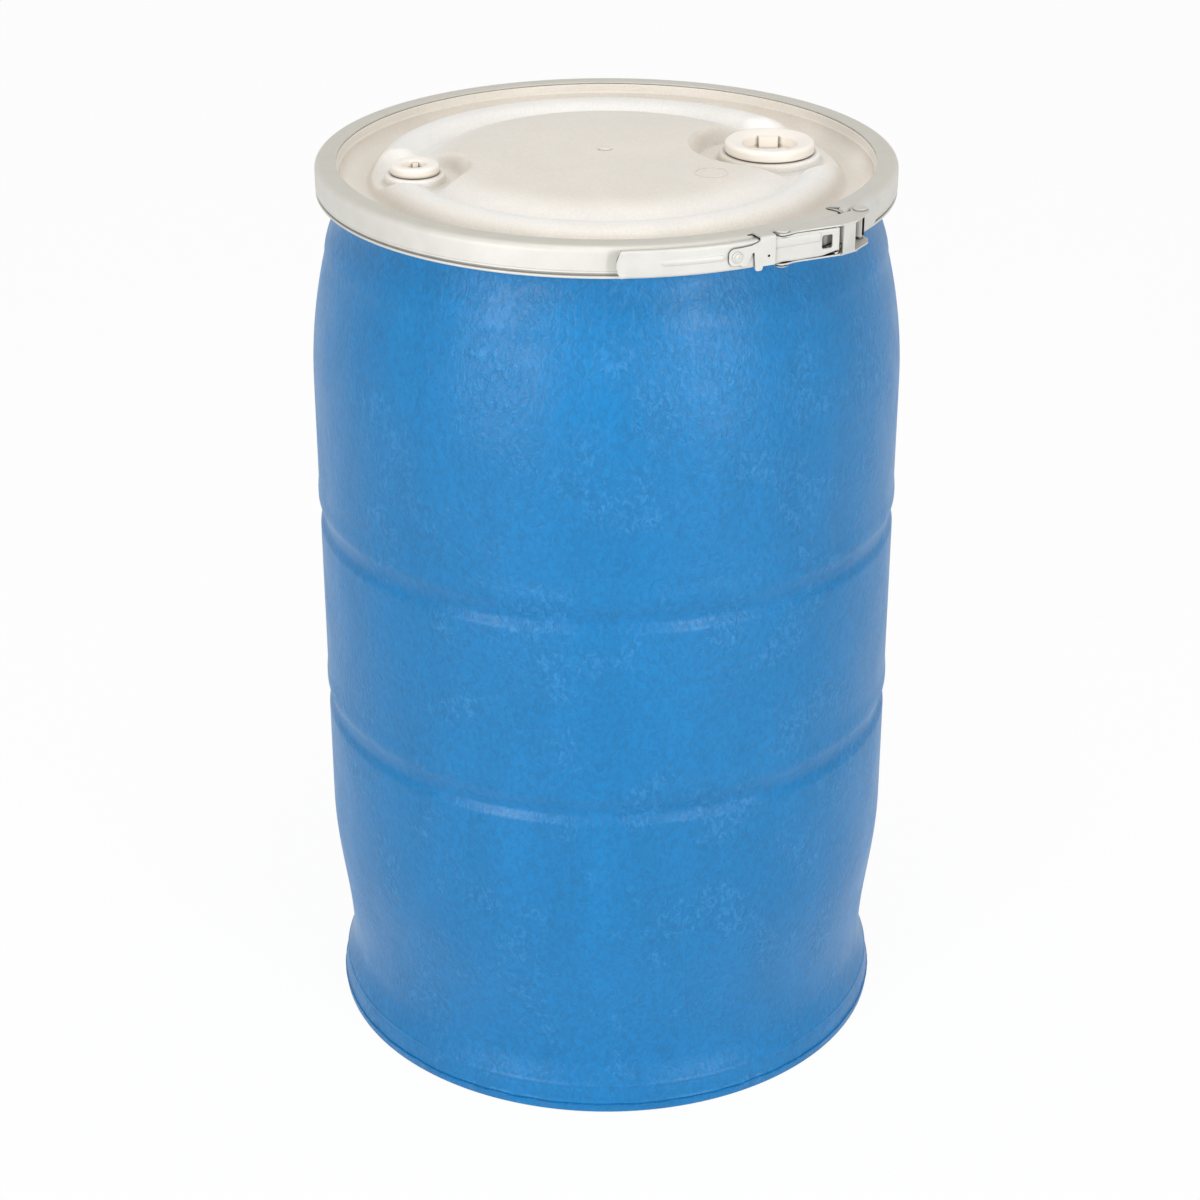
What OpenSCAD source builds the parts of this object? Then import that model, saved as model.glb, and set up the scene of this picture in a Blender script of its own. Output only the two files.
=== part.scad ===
// Plastic open head drum, 30 US gallon size: a blow-moulded body, a moulded lid with two
// screw plugs, and a steel closing ring with an over-centre lever latch.
// Millimetres, +Z up. The drum stands on z = 0, centred on the z axis. Azimuth 0 is -Y, the
// front, and azimuths grow towards +X.

/* [Drum body] */
// Height of the top of the drum's own rim
body_h = 744; // [680:1:820]
// Radius of the straight belly
belly_r = 239.8; // [232:0.1:250]
// Radius of the foot flange
foot_r = 237; // [230:0.5:239]
// Height of the thick foot flange
foot_h = 12; // [8:1:20]
// Height of the narrowest line of the waist above the foot
waist_z = 52; // [44:1:60]
// Depth of that waist under the belly's radius
waist_d = 12.2; // [6:0.1:16]
// Height at which the belly reaches its full radius
belly_z = 190; // [140:1:220]
// Height of the lower rolling hoop
low_hoop_z = 307; // [270:1:330]
// Height of the upper rolling hoop
high_hoop_z = 476; // [440:1:500]
// How far a hoop stands out of the belly
hoop_proud = 0.9; // [0.4:0.1:3]
// Height of a hoop
hoop_h = 16; // [10:1:24]
// Height of the groove under a hoop
groove_h = 21; // [14:1:30]
// Depth of the groove under a hoop
groove_d = 3.5; // [1:0.1:5]
// Depth below the rim at which the shoulder starts to turn in
shoulder_d = 169; // [140:1:200]
// Depth below the rim at which the shoulder becomes a straight cone
cone_d = 64; // [50:1:80]
// How far the shoulder has come in where the cone starts
cone_in = 13.3; // [8:0.1:18]
// Distance of the neck's outside in from the rim bead's outside
neck_in = 11; // [10:0.1:14]
// Height of the straight neck under the rim bead
neck_h = 7; // [5:0.5:9]
// Wall thickness of the blown body
wall = 4; // [3:0.1:4.5]
// Height of the raised middle of the base
base_up = 14; // [8:1:24]
// Width of the flat ring that the drum stands on, in from the foot flange's outside
base_rim_w = 35; // [28:1:45]
// Width of the slope from that ring up to the raised middle
base_slope_w = 16; // [10:1:24]
// Edge radius under the foot flange
foot_round = 3; // [2:0.5:6]
// Radius of the inside corner between the wall and the base
foot_in_round = 12; // [8:1:14]

/* [Drum rim] */
// Distance of the rim bead's outside in from the closing ring's outside
rim_in = 4.5; // [3:0.1:4.7]
// Height of the rim bead
rim_h = 10.9; // [9:0.1:13]
// Width of the rim bead, from the mouth to its outside
rim_w = 11.2; // [10.5:0.1:11.3]
// Edge radius of the rim bead
rim_round = 2.5; // [1:0.1:3.5]

/* [Lid] */
// Thickness of the lid's skin
lid_t = 3.5; // [2.5:0.1:4]
// Thickness of the lid's flange
flange_t = 7.5; // [6:0.1:9]
// Width of the lid's flange
flange_w = 13.5; // [13:0.1:14]
// Edge radius of the lid's flange
flange_round = 2.5; // [1.5:0.1:3]
// Depth of that step under the flange's top
step_d = 6.5; // [4:0.1:7]
// Depth of the annular groove under the flange's top
pan_d = 18.5; // [16:0.1:21]
// Radius of the round corner at the groove's floor
pan_round = 11.2; // [8:0.1:11.4]
// Distance of the crest of the two crescent ridges in from the recessed wall
crest_in = 41.5; // [38.5:0.5:45]
// Depth of that crest under the flange's top
crest_d = 0.5; // [0:0.1:4]
// Width of the crest's outer flank
crest_out_w = 19; // [15:0.5:22]
// Width of the crest's inner flank
crest_in_w = 18; // [12:0.5:20]
// Depth of the valley between the crescents and the plateau, under the flange's top
valley_d = 10.5; // [7:0.1:12]
// Height of the flat middle plateau over the flange's top
plateau_up = 2.5; // [0:0.1:2.9]
// Width of the plateau's rounded edge
plateau_edge_w = 39; // [30:1:41]
// Depth of the bays around the plugs, under the flange's top
bay_d = 12; // [11.5:0.1:17]

/* [Lid gasket] */
// Distance of that gasket's inner edge in from the rim bead's outside
gasket_in = 9.5; // [8:0.1:10.2]
// Radial width of that gasket
gasket_w = 7; // [4:0.1:7.2]
// Thickness of that gasket when the ring is closed
gasket_t = 3; // [2:0.1:4]

/* [Large plug] */
// Direction of the line through both plugs, counter-clockwise from +X
plug_line = 11.8; // [0:0.1:20]
// Distance of the large plug's axis in from the crescents' crest
large_in = 36.2; // [34:0.1:42]
// Outer radius of the large plug's flange
large_flange_r = 36; // [34:0.1:37]
// Height of the large plug's flange
large_flange_h = 7.8; // [6:0.1:9]
// Radius over the large plug's thread
large_thread_r = 28.5; // [27:0.1:29.5]
// Length of the large plug under its flange
large_len = 16; // [12:0.5:20]
// Radius of the large plug's drive socket
large_socket_r = 21.7; // [19:0.1:22.5]
// Depth of the large plug's drive socket
large_socket_d = 12; // [9:0.5:13]
// Width of the two drive lugs in that socket
large_lug_w = 16; // [12:0.5:20]
// Outer radius of the lid's boss around the large plug
large_boss_r = 41; // [39:0.1:42]
// Radius of the bay around the large plug
large_bay_r = 64; // [58:0.5:68]
// Radius of the round gap between the crescents' ends beside the large plug
large_gap_r = 61; // [54:0.5:64]
// How far that gap's centre lies behind the large plug's axis
large_gap_back = 11; // [0:0.5:12]

/* [Small plug] */
// Distance of the small plug's axis in from the crescents' crest
small_in = 16.5; // [13:0.1:19]
// Outer radius of the small plug's flange
small_flange_r = 19.4; // [18.5:0.1:20.5]
// Height of the small plug's flange
small_flange_h = 6.2; // [5:0.1:7]
// Radius over the small plug's thread
small_thread_r = 13.2; // [12.5:0.1:13.8]
// Length of the small plug under its flange
small_len = 12; // [9:0.5:14]
// Radius of the small plug's drive socket
small_socket_r = 9.6; // [8:0.1:10]
// Depth of the small plug's drive socket
small_socket_d = 7; // [5:0.5:8]
// Width of the two drive lugs in that socket
small_lug_w = 5; // [4:0.5:7]
// Outer radius of the lid's boss around the small plug
small_boss_r = 24; // [23:0.1:25]
// Radius of the bay around the small plug
small_bay_r = 46; // [42:0.5:50]
// Radius of the round gap between the crescents' ends beside the small plug
small_gap_r = 36; // [33:0.5:42]
// How far that gap's centre lies behind the small plug's axis
small_gap_back = 8; // [0:0.5:8]

/* [Plug fits] */
// Height of the plug bosses over the bay floor
boss_h = 7.6; // [5:0.1:9]
// Thickness of the plug gaskets
plug_gasket_t = 1.7; // [1.2:0.1:2.5]
// Wall of the threaded sleeves under the bosses
sleeve_wall = 4; // [3:0.1:4.5]
// Free space around a plug, where the real thread takes up the room
thread_clear = 0.35; // [0.3:0.05:0.5]

/* [Closing ring] */
// Outer radius of the closing ring, which the rim, the lid and the gasket follow
ring_r = 231; // [220:0.1:242]
// Steel thickness of the ring
ring_t = 1.2; // [1:0.1:1.5]
// Radial reach of the ring's top leg, in from its face
top_leg = 17.1; // [16:0.1:17.3]
// Outer radius of the ring's rounded shoulder
shoulder_round = 5; // [3:0.1:6]
// Radial reach of the ring's lower leg, in from its face
lower_leg = 12.5; // [10:0.1:13]
// Azimuth of the middle of the gap between the ring's ends
gap_az = 49.3; // [49.2:0.1:49.5]
// Width of that gap, in degrees
gap_w = 1.2; // [1:0.1:1.4]

/* [Lever] */
// Azimuth of the lever's free end
lever_end_az = 2.2; // [2:0.1:10]
// Steel thickness of the lever
lever_t = 1.3; // [1.2:0.1:1.5]
// Height of the lever
lever_h = 20.8; // [20.4:0.1:21.6]
// Free space between the lever's face and the ring's face
lever_space = 6.2; // [6:0.1:6.5]
// Depth of the lever's flanges along the handle
handle_flange = 3.6; // [2.5:0.1:4.5]
// Azimuth of the fulcrum pin
fulcrum_az = 47.3; // [47.1:0.1:47.4]
// Distance of the fulcrum pin from the ring's face
fulcrum_off = 4.1; // [4:0.1:4.3]
// Azimuth of the pin that joins the lever and the link
link_az = 33; // [32.6:0.1:33.4]
// Distance of that pin from the ring's face
link_off = 3.6; // [3.5:0.1:3.7]
// Radius of the three hinge pins
pin_r = 2; // [1.8:0.1:2.1]
// Radius of the hinge pins' heads
head_r = 3.7; // [3.4:0.1:3.8]
// Height of the hinge pins' heads
head_h = 1.2; // [0.8:0.1:1.2]
// Running clearance around a pin, on the radius
run_clear = 0.1; // [0.05:0.01:0.1]
// Wall of the rolled knuckles
knuckle_t = 1.5; // [1.3:0.1:1.5]
// Azimuth of the square hole in the lever
hole_az = 43.4; // [42.9:0.1:43.8]
// Side of that hole
lever_hole = 10; // [7:0.5:10]
// How far the hole's centre lies under the lever's middle
hole_down = 3; // [0:0.5:3]
// Azimuth of the left end of the lever's stiffening rib
rib_az = 9.2; // [8:0.1:12]
// Distance of the rib's right end from the safety latch's rivet
rib_gap = 7.6; // [7:0.1:16]
// Height of that rib
rib_h = 4; // [3:0.1:6]
// How far the rib stands out of the lever's face
rib_proud = 0.8; // [0.4:0.1:1]
// How far the lever's end flares out of its face
lip = 1.6; // [1:0.1:2]

/* [Link and catch] */
// Azimuth of the pin that the link hooks into the catch
catch_az = 52.6; // [52.4:0.1:52.8]
// Distance of that pin from the ring's face
catch_off = 7; // [6.9:0.1:7.2]
// Thickness of the link's two arms and of its web
link_t = 1.2; // [1:0.1:1.2]
// Width of the link's front web
web_w = 11; // [8:0.5:11.5]
// Steel thickness of the catch and of the fulcrum bracket's plate
bracket_t = 1.4; // [1.2:0.1:1.4]
// Length of the fulcrum bracket's plate along the ring, left of its pin, in degrees
bracket_az = 4.5; // [3:0.1:5]
// Azimuth of the right end of the catch
catch_end_az = 63.2; // [61:0.1:65]
// Height of the catch's open hook
hook_h = 17; // [14:0.5:18]
// Size of the cut corner at the catch's lower right
corner = 9.9; // [6:0.1:11]
// Room beside the pin for its arc as it leaves the hook
exit_room = 0.3; // [0.3:0.05:0.4]

/* [Safety latch] */
// Distance from the safety latch's free edge to the link pin
latch_room = 9.6; // [6.5:0.1:11]
// Radius of the rivet's shank
rivet_r = 2; // [1.5:0.1:2.1]
// Radius of the rivet's head
rivet_head_r = 4.2; // [3.2:0.1:4.4]
// Thickness of the safety latch's plate
plate_t = 1.2; // [1:0.1:1.4]
// Length of the plate from its rivet to its free edge
plate_len = 31.5; // [31:0.1:33]
// Width of the tab that hooks over the lever's top edge
tab_w = 12.5; // [10:0.5:14]
// Height of the plate's upper edge over the rivet, beside the tab
neck_up = 7; // [6:0.1:7.5]
// Distance of the finger lug under the plate from the rivet
lug_x = 18; // [17.5:0.5:22]
// Radius of that lug
lug_r = 2.6; // [2:0.1:3]
// Distance of the tip of the notch in the plate's lower edge from the rivet
notch_x = 13.6; // [12:0.1:14]
// How far the notch's slanted side runs back towards the rivet
notch_w = 6; // [4:0.1:7]
// Distance of the seal hole in the plate from the rivet
seal_x = 26; // [24:0.5:28]
// Radius of the seal hole
seal_r = 1; // [0.8:0.1:1.5]

/* [Clearances] */
// Clearance between two moving pieces
clear = 0.3; // [0.25:0.05:0.4]
// Space left for the weld between the ring and its brackets
weld_gap = 0.1; // [0.05:0.05:0.15]

/* [Hidden] */
$fn = 96;
// Degrees in a radian
rad = 180 / PI;

blue = "#2e88c7";
white = "#e6e1d6";
steel = "#d6d6d0";
dark = "#3c3c3c";

// Radii, from the closing ring inwards
rim_r = ring_r - rim_in;
ring_in_r = ring_r - top_leg;
neck_r = rim_r - neck_in;
mouth_r = rim_r - rim_w;
gasket_in_r = rim_r - gasket_in;
flange_in_r = rim_r - flange_w;
recess_r = mouth_r - clear - lid_t;
crest_r = recess_r - crest_in;
crest_out_r = crest_r + crest_out_w;
valley_out_r = crest_r - crest_in_w;
plateau_r = valley_out_r - plateau_edge_w - 2;
large_off = crest_r - large_in;
small_off = crest_r - small_in;

// Levels, from the drum's rim upwards
rim_low_z = body_h - rim_h;
flange_z = body_h + gasket_t;
flange_top = flange_z + flange_t;
pan_z = flange_top - pan_d;
valley_z = flange_top - valley_d;
crest_z = flange_top - crest_d;
plateau_z = flange_top + plateau_up;
bay_z = flange_top - bay_d;
boss_z = bay_z + boss_h;
plug_z = boss_z + plug_gasket_t;
ring_top = flange_top + clear + ring_t;
ring_low = rim_low_z - clear - ring_t;

// Heights of the latch, whose middle lies a little above the ring's
rise = 0.9;
lever_z = (ring_top + ring_low) / 2 + rise - lever_h / 2;
lever_top = lever_z + lever_h;
lever_in_r = ring_r + lever_space;
lever_out_r = lever_in_r + lever_t;
lever_mid_r = lever_in_r + lever_t / 2;
ear_in_r = ring_r + clear;
mid_z = lever_z + lever_h / 2;
arm_low_z = lever_z - clear - link_t;
arm_top_z = lever_top + clear;
fulcrum_r = ring_r + fulcrum_off;
link_r = ring_r + link_off;
catch_r = ring_r + catch_off;
knuckle_r = pin_r + run_clear + knuckle_t;
knuckle_z = lever_z + lever_t + clear;
knuckle_h = lever_h - 2 * lever_t - 2 * clear;
plate_in_r = lever_out_r + clear;
plate_out_r = plate_in_r + plate_t;
rivet_az = link_az - (plate_len + latch_room) / plate_out_r * rad;
lever_face_az = fulcrum_az - (knuckle_r + 2 * clear) / lever_in_r * rad;

// Turns its children from +X, radially outwards, to an azimuth
module polar(az) rotate([0, 0, az - 90]) children();

// A ring sector with a rectangular section
module sector(az0, az1, r0, r1, z0, z1) polar(az0) rotate_extrude(angle = az1 - az0)
    translate([r0, z0]) square([r1 - r0, z1 - z0]);

// An upright round bar on a point given by azimuth and radius
module post(az, r, bar_r, z0, z1) polar(az) translate([r, 0, z0]) cylinder(r = bar_r, h = z1 - z0);

function ease(t) = (1 - cos(180 * t)) / 2;
function ease_pts(a, b, n) =
    [for (i = [1:n]) [a[0] + (b[0] - a[0]) * ease(i / n), a[1] + (b[1] - a[1]) * i / n]];
function arc(c, r, from, to, n) =
    [for (i = [0:n]) c + r * [cos(from + (to - from) * i / n), sin(from + (to - from) * i / n)]];
function rev(v) = [for (i = [len(v) - 1:-1:0]) v[i]];
function inset(v, d) = [for (p = v) [p[0] - d, p[1]]];

// ---- Drum body ----

// A hoop and the groove under it, from the groove's lower edge upwards
function hoop_pts(z) = concat(
    [[belly_r, z - hoop_h / 2 - groove_h]],
    ease_pts([belly_r, z - hoop_h / 2 - groove_h],
        [belly_r - groove_d, z - hoop_h / 2 - groove_h / 2], 4),
    ease_pts([belly_r - groove_d, z - hoop_h / 2 - groove_h / 2],
        [belly_r + hoop_proud, z], 5),
    ease_pts([belly_r + hoop_proud, z], [belly_r, z + hoop_h], 4));

shoulder_z = body_h - shoulder_d;
cone_z = body_h - cone_d;
neck_z = rim_low_z - neck_h;
waist_r = belly_r - waist_d;
cone_r = belly_r - cone_in;

// The wall's outside from the foot flange up to the neck
wall_pts = concat(
    [[foot_r - 1.2, foot_h]],
    ease_pts([foot_r - 1.2, foot_h], [waist_r, waist_z], 7),
    ease_pts([waist_r, waist_z], [belly_r, belly_z], 12),
    hoop_pts(low_hoop_z),
    hoop_pts(high_hoop_z),
    [for (i = [0:8]) [belly_r - cone_in * pow(i / 8, 2),
        shoulder_z + (cone_z - shoulder_z) * i / 8]],
    ease_pts([cone_r, cone_z], [neck_r, neck_z], 6));

module drum_body() color(blue) {
    base_in_r = foot_r - base_rim_w;
    base_up_r = base_in_r - base_slope_w;
    outside = concat(
        arc([foot_r - foot_round, foot_round], foot_round, -90, 0, 4),
        wall_pts,
        [[neck_r, rim_low_z]],
        arc([rim_r - rim_round, rim_low_z + rim_round], rim_round, -90, 0, 4),
        arc([rim_r - rim_round, body_h - rim_round], rim_round, 0, 90, 4),
        [[mouth_r + 1, body_h], [mouth_r, body_h - 1], [mouth_r, rim_low_z + 2],
            [neck_r - wall, neck_z]]);
    inside = concat(
        rev(inset(wall_pts, wall)),
        arc([foot_r - wall - foot_in_round, wall + foot_in_round], foot_in_round, 0, -90, 5),
        [[base_in_r + wall, wall], [base_up_r + wall / 2, base_up + wall],
            [0, base_up + wall], [0, base_up], [base_up_r, base_up], [base_in_r, 0]]);
    rotate_extrude() polygon(concat(outside, inside));
}

// ---- Lid ----

large_at = large_off * [cos(plug_line), sin(plug_line)];
small_at = small_off * [cos(plug_line + 180), sin(plug_line + 180)];

// The crescents' ridge as a closed section down to a base level, s inside its skin
function ridge_pts(s, base) = concat(
    [[valley_out_r - 3, base], [valley_out_r - 3, valley_z]],
    [for (i = [0:4]) [valley_out_r + s + (crest_in_w - s) * i / 4,
        valley_z + (crest_z - valley_z) * (1 - pow(1 - i / 4, 3))]],
    [for (i = [1:6]) [crest_r + (crest_out_w - s) * i / 6,
        pan_z + (crest_z - pan_z) * (1 - pow(i / 6, 3))]],
    [[crest_out_r - s, base]]);

// The plateau as a closed section down to a base level, s inside its skin
function plateau_pts(s, base) = concat(
    [[0, base], [0, plateau_z]],
    [for (i = [0:6]) [plateau_r + (plateau_edge_w - s) * i / 6,
        plateau_z - (plateau_z - valley_z) * pow(i / 6, 2.2)]],
    [[valley_out_r - 2, valley_z], [valley_out_r - 2, base]]);

// An upright cylinder on a point of the lid
module stack(at, r, z0, z1) translate([at[0], at[1], z0]) cylinder(r = r, h = z1 - z0);

// What stands out of the lid's pan: crescents, plateau and bosses, s inside their skin. The
// plugs' bays lie in the plateau, and the round gaps between the crescents' ends lie behind them.
module lid_form(s, base) {
    top = plateau_z + 1;
    difference() {
        union() {
            rotate_extrude() polygon(ridge_pts(s, base));
            difference() {
                rotate_extrude() polygon(plateau_pts(s, base));
                stack(large_at, large_bay_r + s, bay_z, top);
                stack(small_at, small_bay_r + s, bay_z, top);
            }
        }
        stack(large_at + [0, large_gap_back], large_gap_r + s, bay_z, top);
        stack(small_at + [0, small_gap_back], small_gap_r + s, bay_z, top);
    }
    stack(large_at, large_boss_r - s, base, boss_z);
    stack(small_at, small_boss_r - s, base, boss_z);
}

module lid() color(white) {
    c = [recess_r - pan_round, pan_z + pan_round];
    rim = concat(
        [[crest_out_r - 4, pan_z - lid_t]],
        arc(c, pan_round + lid_t, -90, -8, 7),
        [[recess_r + lid_t - 0.2, flange_z], [rim_r - 1, flange_z], [rim_r, flange_z + 1]],
        arc([rim_r - flange_round, flange_top - flange_round], flange_round, 0, 90, 4),
        [[flange_in_r + 0.8, flange_top], [flange_in_r, flange_top - 0.8],
            [flange_in_r - 0.6, flange_top - step_d], [recess_r, flange_top - step_d - 0.5]],
        arc(c, pan_round, 0, -90, 7),
        [[crest_out_r - 4, pan_z]]);
    difference() {
        union() {
            rotate_extrude() polygon(rim);
            difference() {
                lid_form(0, pan_z - lid_t);
                translate([0, 0, -lid_t]) lid_form(lid_t, pan_z - 1);
            }
            sleeve(large_at, large_thread_r, large_len);
            sleeve(small_at, small_thread_r, small_len);
        }
        stack(large_at, large_thread_r + thread_clear, plug_z - large_len - 2, boss_z + 1);
        stack(small_at, small_thread_r + thread_clear, plug_z - small_len - 2, boss_z + 1);
    }
}

// The sleeve under a plug's boss, not yet bored
module sleeve(at, thread_r, len)
    stack(at, thread_r + thread_clear + sleeve_wall, plug_z - len - 1, boss_z);

module lid_gasket() color(dark)
    sector(0, 360, gasket_in_r, gasket_in_r + gasket_w, body_h, flange_z);

// ---- Plugs ----

// A screw plug on its own axis: flange, drive socket with two lugs, and a hollow shank
module plug(flange_r, flange_h, thread_r, len, socket_r, socket_d, lug_w) {
    round_r = 2.4;
    top = flange_h;
    floor_z = top - socket_d;
    difference() {
        union() {
            rotate_extrude() polygon(concat(
                [[0, 0], [flange_r - 0.8, 0], [flange_r, 0.8]],
                arc([flange_r - round_r, top - round_r], round_r, 0, 90, 5),
                [[0, top]]));
            translate([0, 0, -len]) cylinder(r = thread_r, h = len + 1);
        }
        translate([0, 0, floor_z]) cylinder(r = socket_r, h = socket_d + 1);
        translate([0, 0, top - 2]) cylinder(r1 = socket_r, r2 = socket_r + 3, h = 2.01);
        translate([0, 0, -len - 1]) cylinder(r = thread_r - 3.2, h = len + floor_z - 2);
    }
    for (side = [90, 270]) rotate([0, 0, side]) difference() {
        translate([socket_r * 0.78, -lug_w / 2, floor_z])
            cube([socket_r * 0.22 + 0.6, lug_w, socket_d - 2.2]);
        translate([0, 0, floor_z - 1]) difference() {
            cylinder(r = socket_r * 2, h = socket_d);
            translate([0, 0, -1]) cylinder(r = socket_r + 0.5, h = socket_d + 2);
        }
    }
}

module large_plug() color(white) translate([large_at[0], large_at[1], plug_z])
    plug(large_flange_r, large_flange_h, large_thread_r, large_len,
        large_socket_r, large_socket_d, large_lug_w);

module small_plug() color(white) translate([small_at[0], small_at[1], plug_z])
    plug(small_flange_r, small_flange_h, small_thread_r, small_len,
        small_socket_r, small_socket_d, small_lug_w);

// A flat washer on a boss, around the plug's shank
module plug_washer(at, thread_r) translate([at[0], at[1], boss_z]) difference() {
    cylinder(r = thread_r + thread_clear + sleeve_wall, h = plug_gasket_t);
    translate([0, 0, -1]) cylinder(r = thread_r + thread_clear, h = plug_gasket_t + 2);
}

module large_plug_gasket() color(dark) plug_washer(large_at, large_thread_r);

module small_plug_gasket() color(dark) plug_washer(small_at, small_thread_r);

// ---- Closing ring ----

// The ring's outside, off outwards of it: top leg, shoulder and face down to a level
function ring_skin(off, in_r, low_z) = concat(
    [[in_r, ring_top + off]],
    arc([ring_r - shoulder_round, ring_top - shoulder_round], shoulder_round + off, 90, 0, 6),
    [[ring_r + off, low_z]]);

module ring_band() color(steel) difference() {
    low_round = 2.5;
    outside = concat(
        ring_skin(0, ring_in_r, ring_low + low_round),
        arc([ring_r - low_round, ring_low + low_round], low_round, 0, -90, 4),
        [[ring_r - lower_leg, ring_low]]);
    inside = concat(
        [[ring_r - lower_leg, ring_low + ring_t]],
        arc([ring_r - low_round, ring_low + low_round], low_round - ring_t, -90, 0, 4),
        rev(ring_skin(-ring_t, ring_in_r, ring_low + low_round)));
    polar(gap_az + gap_w / 2) rotate_extrude(angle = 360 - gap_w) polygon(concat(outside, inside));
    sector(tab_az - 1, plate_end_az + 0.2, tab_in_r - clear, tab_in_r + plate_t + clear,
        ring_top - 6, ring_top + 1);
}

// The bracket that carries the fulcrum pin: a plate on the ring's left end and its knuckle
module fulcrum_bracket() color(steel) difference() {
    union() {
        sector(fulcrum_az - bracket_az, gap_az - gap_w / 2, ring_r + weld_gap,
            ring_r + weld_gap + bracket_t, knuckle_z, knuckle_z + knuckle_h);
        post(fulcrum_az, fulcrum_r, knuckle_r, knuckle_z, knuckle_z + knuckle_h);
    }
    post(fulcrum_az, fulcrum_r, pin_r + run_clear, knuckle_z - 1, knuckle_z + knuckle_h + 1);
}

// The catch's plate: it saddles the ring's right end, with a slanted left edge on the ring's
// top and a cut corner at the lower right
module catch_plate() {
    az0 = gap_az + gap_w / 2;
    in_r = ring_in_r + 1.6;
    low_z = ring_low + 2.5;
    slant = 14;
    difference() {
        polar(az0) rotate_extrude(angle = catch_end_az - az0) polygon(concat(
            ring_skin(weld_gap + bracket_t, in_r, low_z), rev(ring_skin(weld_gap, in_r, low_z))));
        polar(az0) translate([ring_in_r, 0, ring_top - 2]) rotate([0, 0, slant])
            translate([-20, -20, 0]) cube([32, 20, 6]);
        polar(catch_end_az) translate([ring_r - 2, 0, low_z]) rotate([45, 0, 0])
            translate([0, -corner / sqrt(2), -corner / sqrt(2)])
                cube([8, corner * sqrt(2), corner * sqrt(2)]);
    }
}

// The catch: its plate and an open hook. The hook's slot points the way that the link's pin
// leaves it, square to the line from the fulcrum to the link pin.
module catch_bracket() color(steel) {
    low_z = mid_z - hook_h / 2;
    bore_r = pin_r + run_clear + 0.05;
    root_r = ring_r + weld_gap + bracket_t - 0.3;
    catch_plate();
    difference() {
        union() {
            post(catch_az, catch_r, knuckle_r, low_z, low_z + hook_h);
            polar(catch_az) translate([root_r, -1, low_z])
                cube([catch_r - bore_r + 1 - root_r, knuckle_r + 1, hook_h]);
        }
        post(catch_az, catch_r, bore_r, low_z - 1, low_z + hook_h + 1);
        translate([catch_at[0], catch_at[1], low_z - 1]) rotate([0, 0, exit_dir])
            translate([0, -bore_r, 0]) cube([3 * knuckle_r, 2 * bore_r + exit_room, hook_h + 2]);
    }
}

// ---- Lever latch ----

// The lever: a curved face, shallow flanges along its handle and deep ears at its two pins.
// The flanges and ears end inside the face's thickness, and an eye on each ear holds the fulcrum.
module lever() color(steel) difference() {
    eye_r = pin_r + 1;
    eye_len = 7;
    union() {
        sector(lever_end_az, lever_face_az, lever_in_r, lever_out_r, lever_z, lever_top);
        for (z = [lever_z, lever_top - lever_t]) {
            sector(lever_end_az, link_az - 2, lever_out_r - handle_flange, lever_mid_r, z, z + lever_t);
            sector(link_az - 2.1, lever_face_az - 0.2, ear_in_r, lever_mid_r, z, z + lever_t);
            post(fulcrum_az, fulcrum_r, eye_r, z, z + lever_t);
            polar(fulcrum_az) translate([fulcrum_r - eye_r, -eye_len, z])
                cube([2 * eye_r, eye_len, lever_t]);
        }
        sector(rib_az, rivet_az - rib_gap / lever_out_r * rad, lever_mid_r, lever_out_r + rib_proud,
            mid_z - rib_h / 2, mid_z + rib_h / 2);
        sector(lever_end_az, lever_end_az + 0.5, lever_mid_r, lever_out_r + lip,
            lever_z + 2, lever_top - 2);
    }
    polar(hole_az) translate([lever_in_r - 1, -lever_hole / 2, mid_z - hole_down - lever_hole / 2])
        cube([lever_t + 3, lever_hole, lever_hole]);
    post(link_az, link_r, pin_r + run_clear, lever_z - 1, lever_top + 1);
    post(fulcrum_az, fulcrum_r, pin_r, lever_z - 1, lever_top + 1);
    polar(rivet_az) translate([lever_in_r - 1, 0, mid_z]) rotate([0, 90, 0])
        cylinder(r = rivet_r, h = lever_t + 3);
}

// A hinge pin with a head at each end, outside the pieces from z0 to z1
module headed_pin(az, r, z0, z1) {
    post(az, r, pin_r, z0 - head_h / 2, z1 + head_h / 2);
    post(az, r, head_r, z0 - head_h, z0);
    post(az, r, head_r, z1, z1 + head_h);
}

module fulcrum_pin() color(steel) post(fulcrum_az, fulcrum_r, pin_r, lever_z, lever_top);

module link_pin() color(steel) headed_pin(link_az, link_r, arm_low_z, arm_top_z + link_t);

module catch_pin() color(steel) headed_pin(catch_az, catch_r, arm_low_z, arm_top_z + link_t);

function at(az, r) = r * [sin(az), -cos(az)];
link_at = at(link_az, link_r);
catch_at = at(catch_az, catch_r);
fulcrum_at = at(fulcrum_az, fulcrum_r);
link_run = norm(catch_at - link_at);
link_dir = atan2(catch_at[1] - link_at[1], catch_at[0] - link_at[0]);
link_out = [sin(link_dir), -cos(link_dir)];
exit_dir = atan2(link_at[1] - fulcrum_at[1], link_at[0] - fulcrum_at[0]) + 90;

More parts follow.
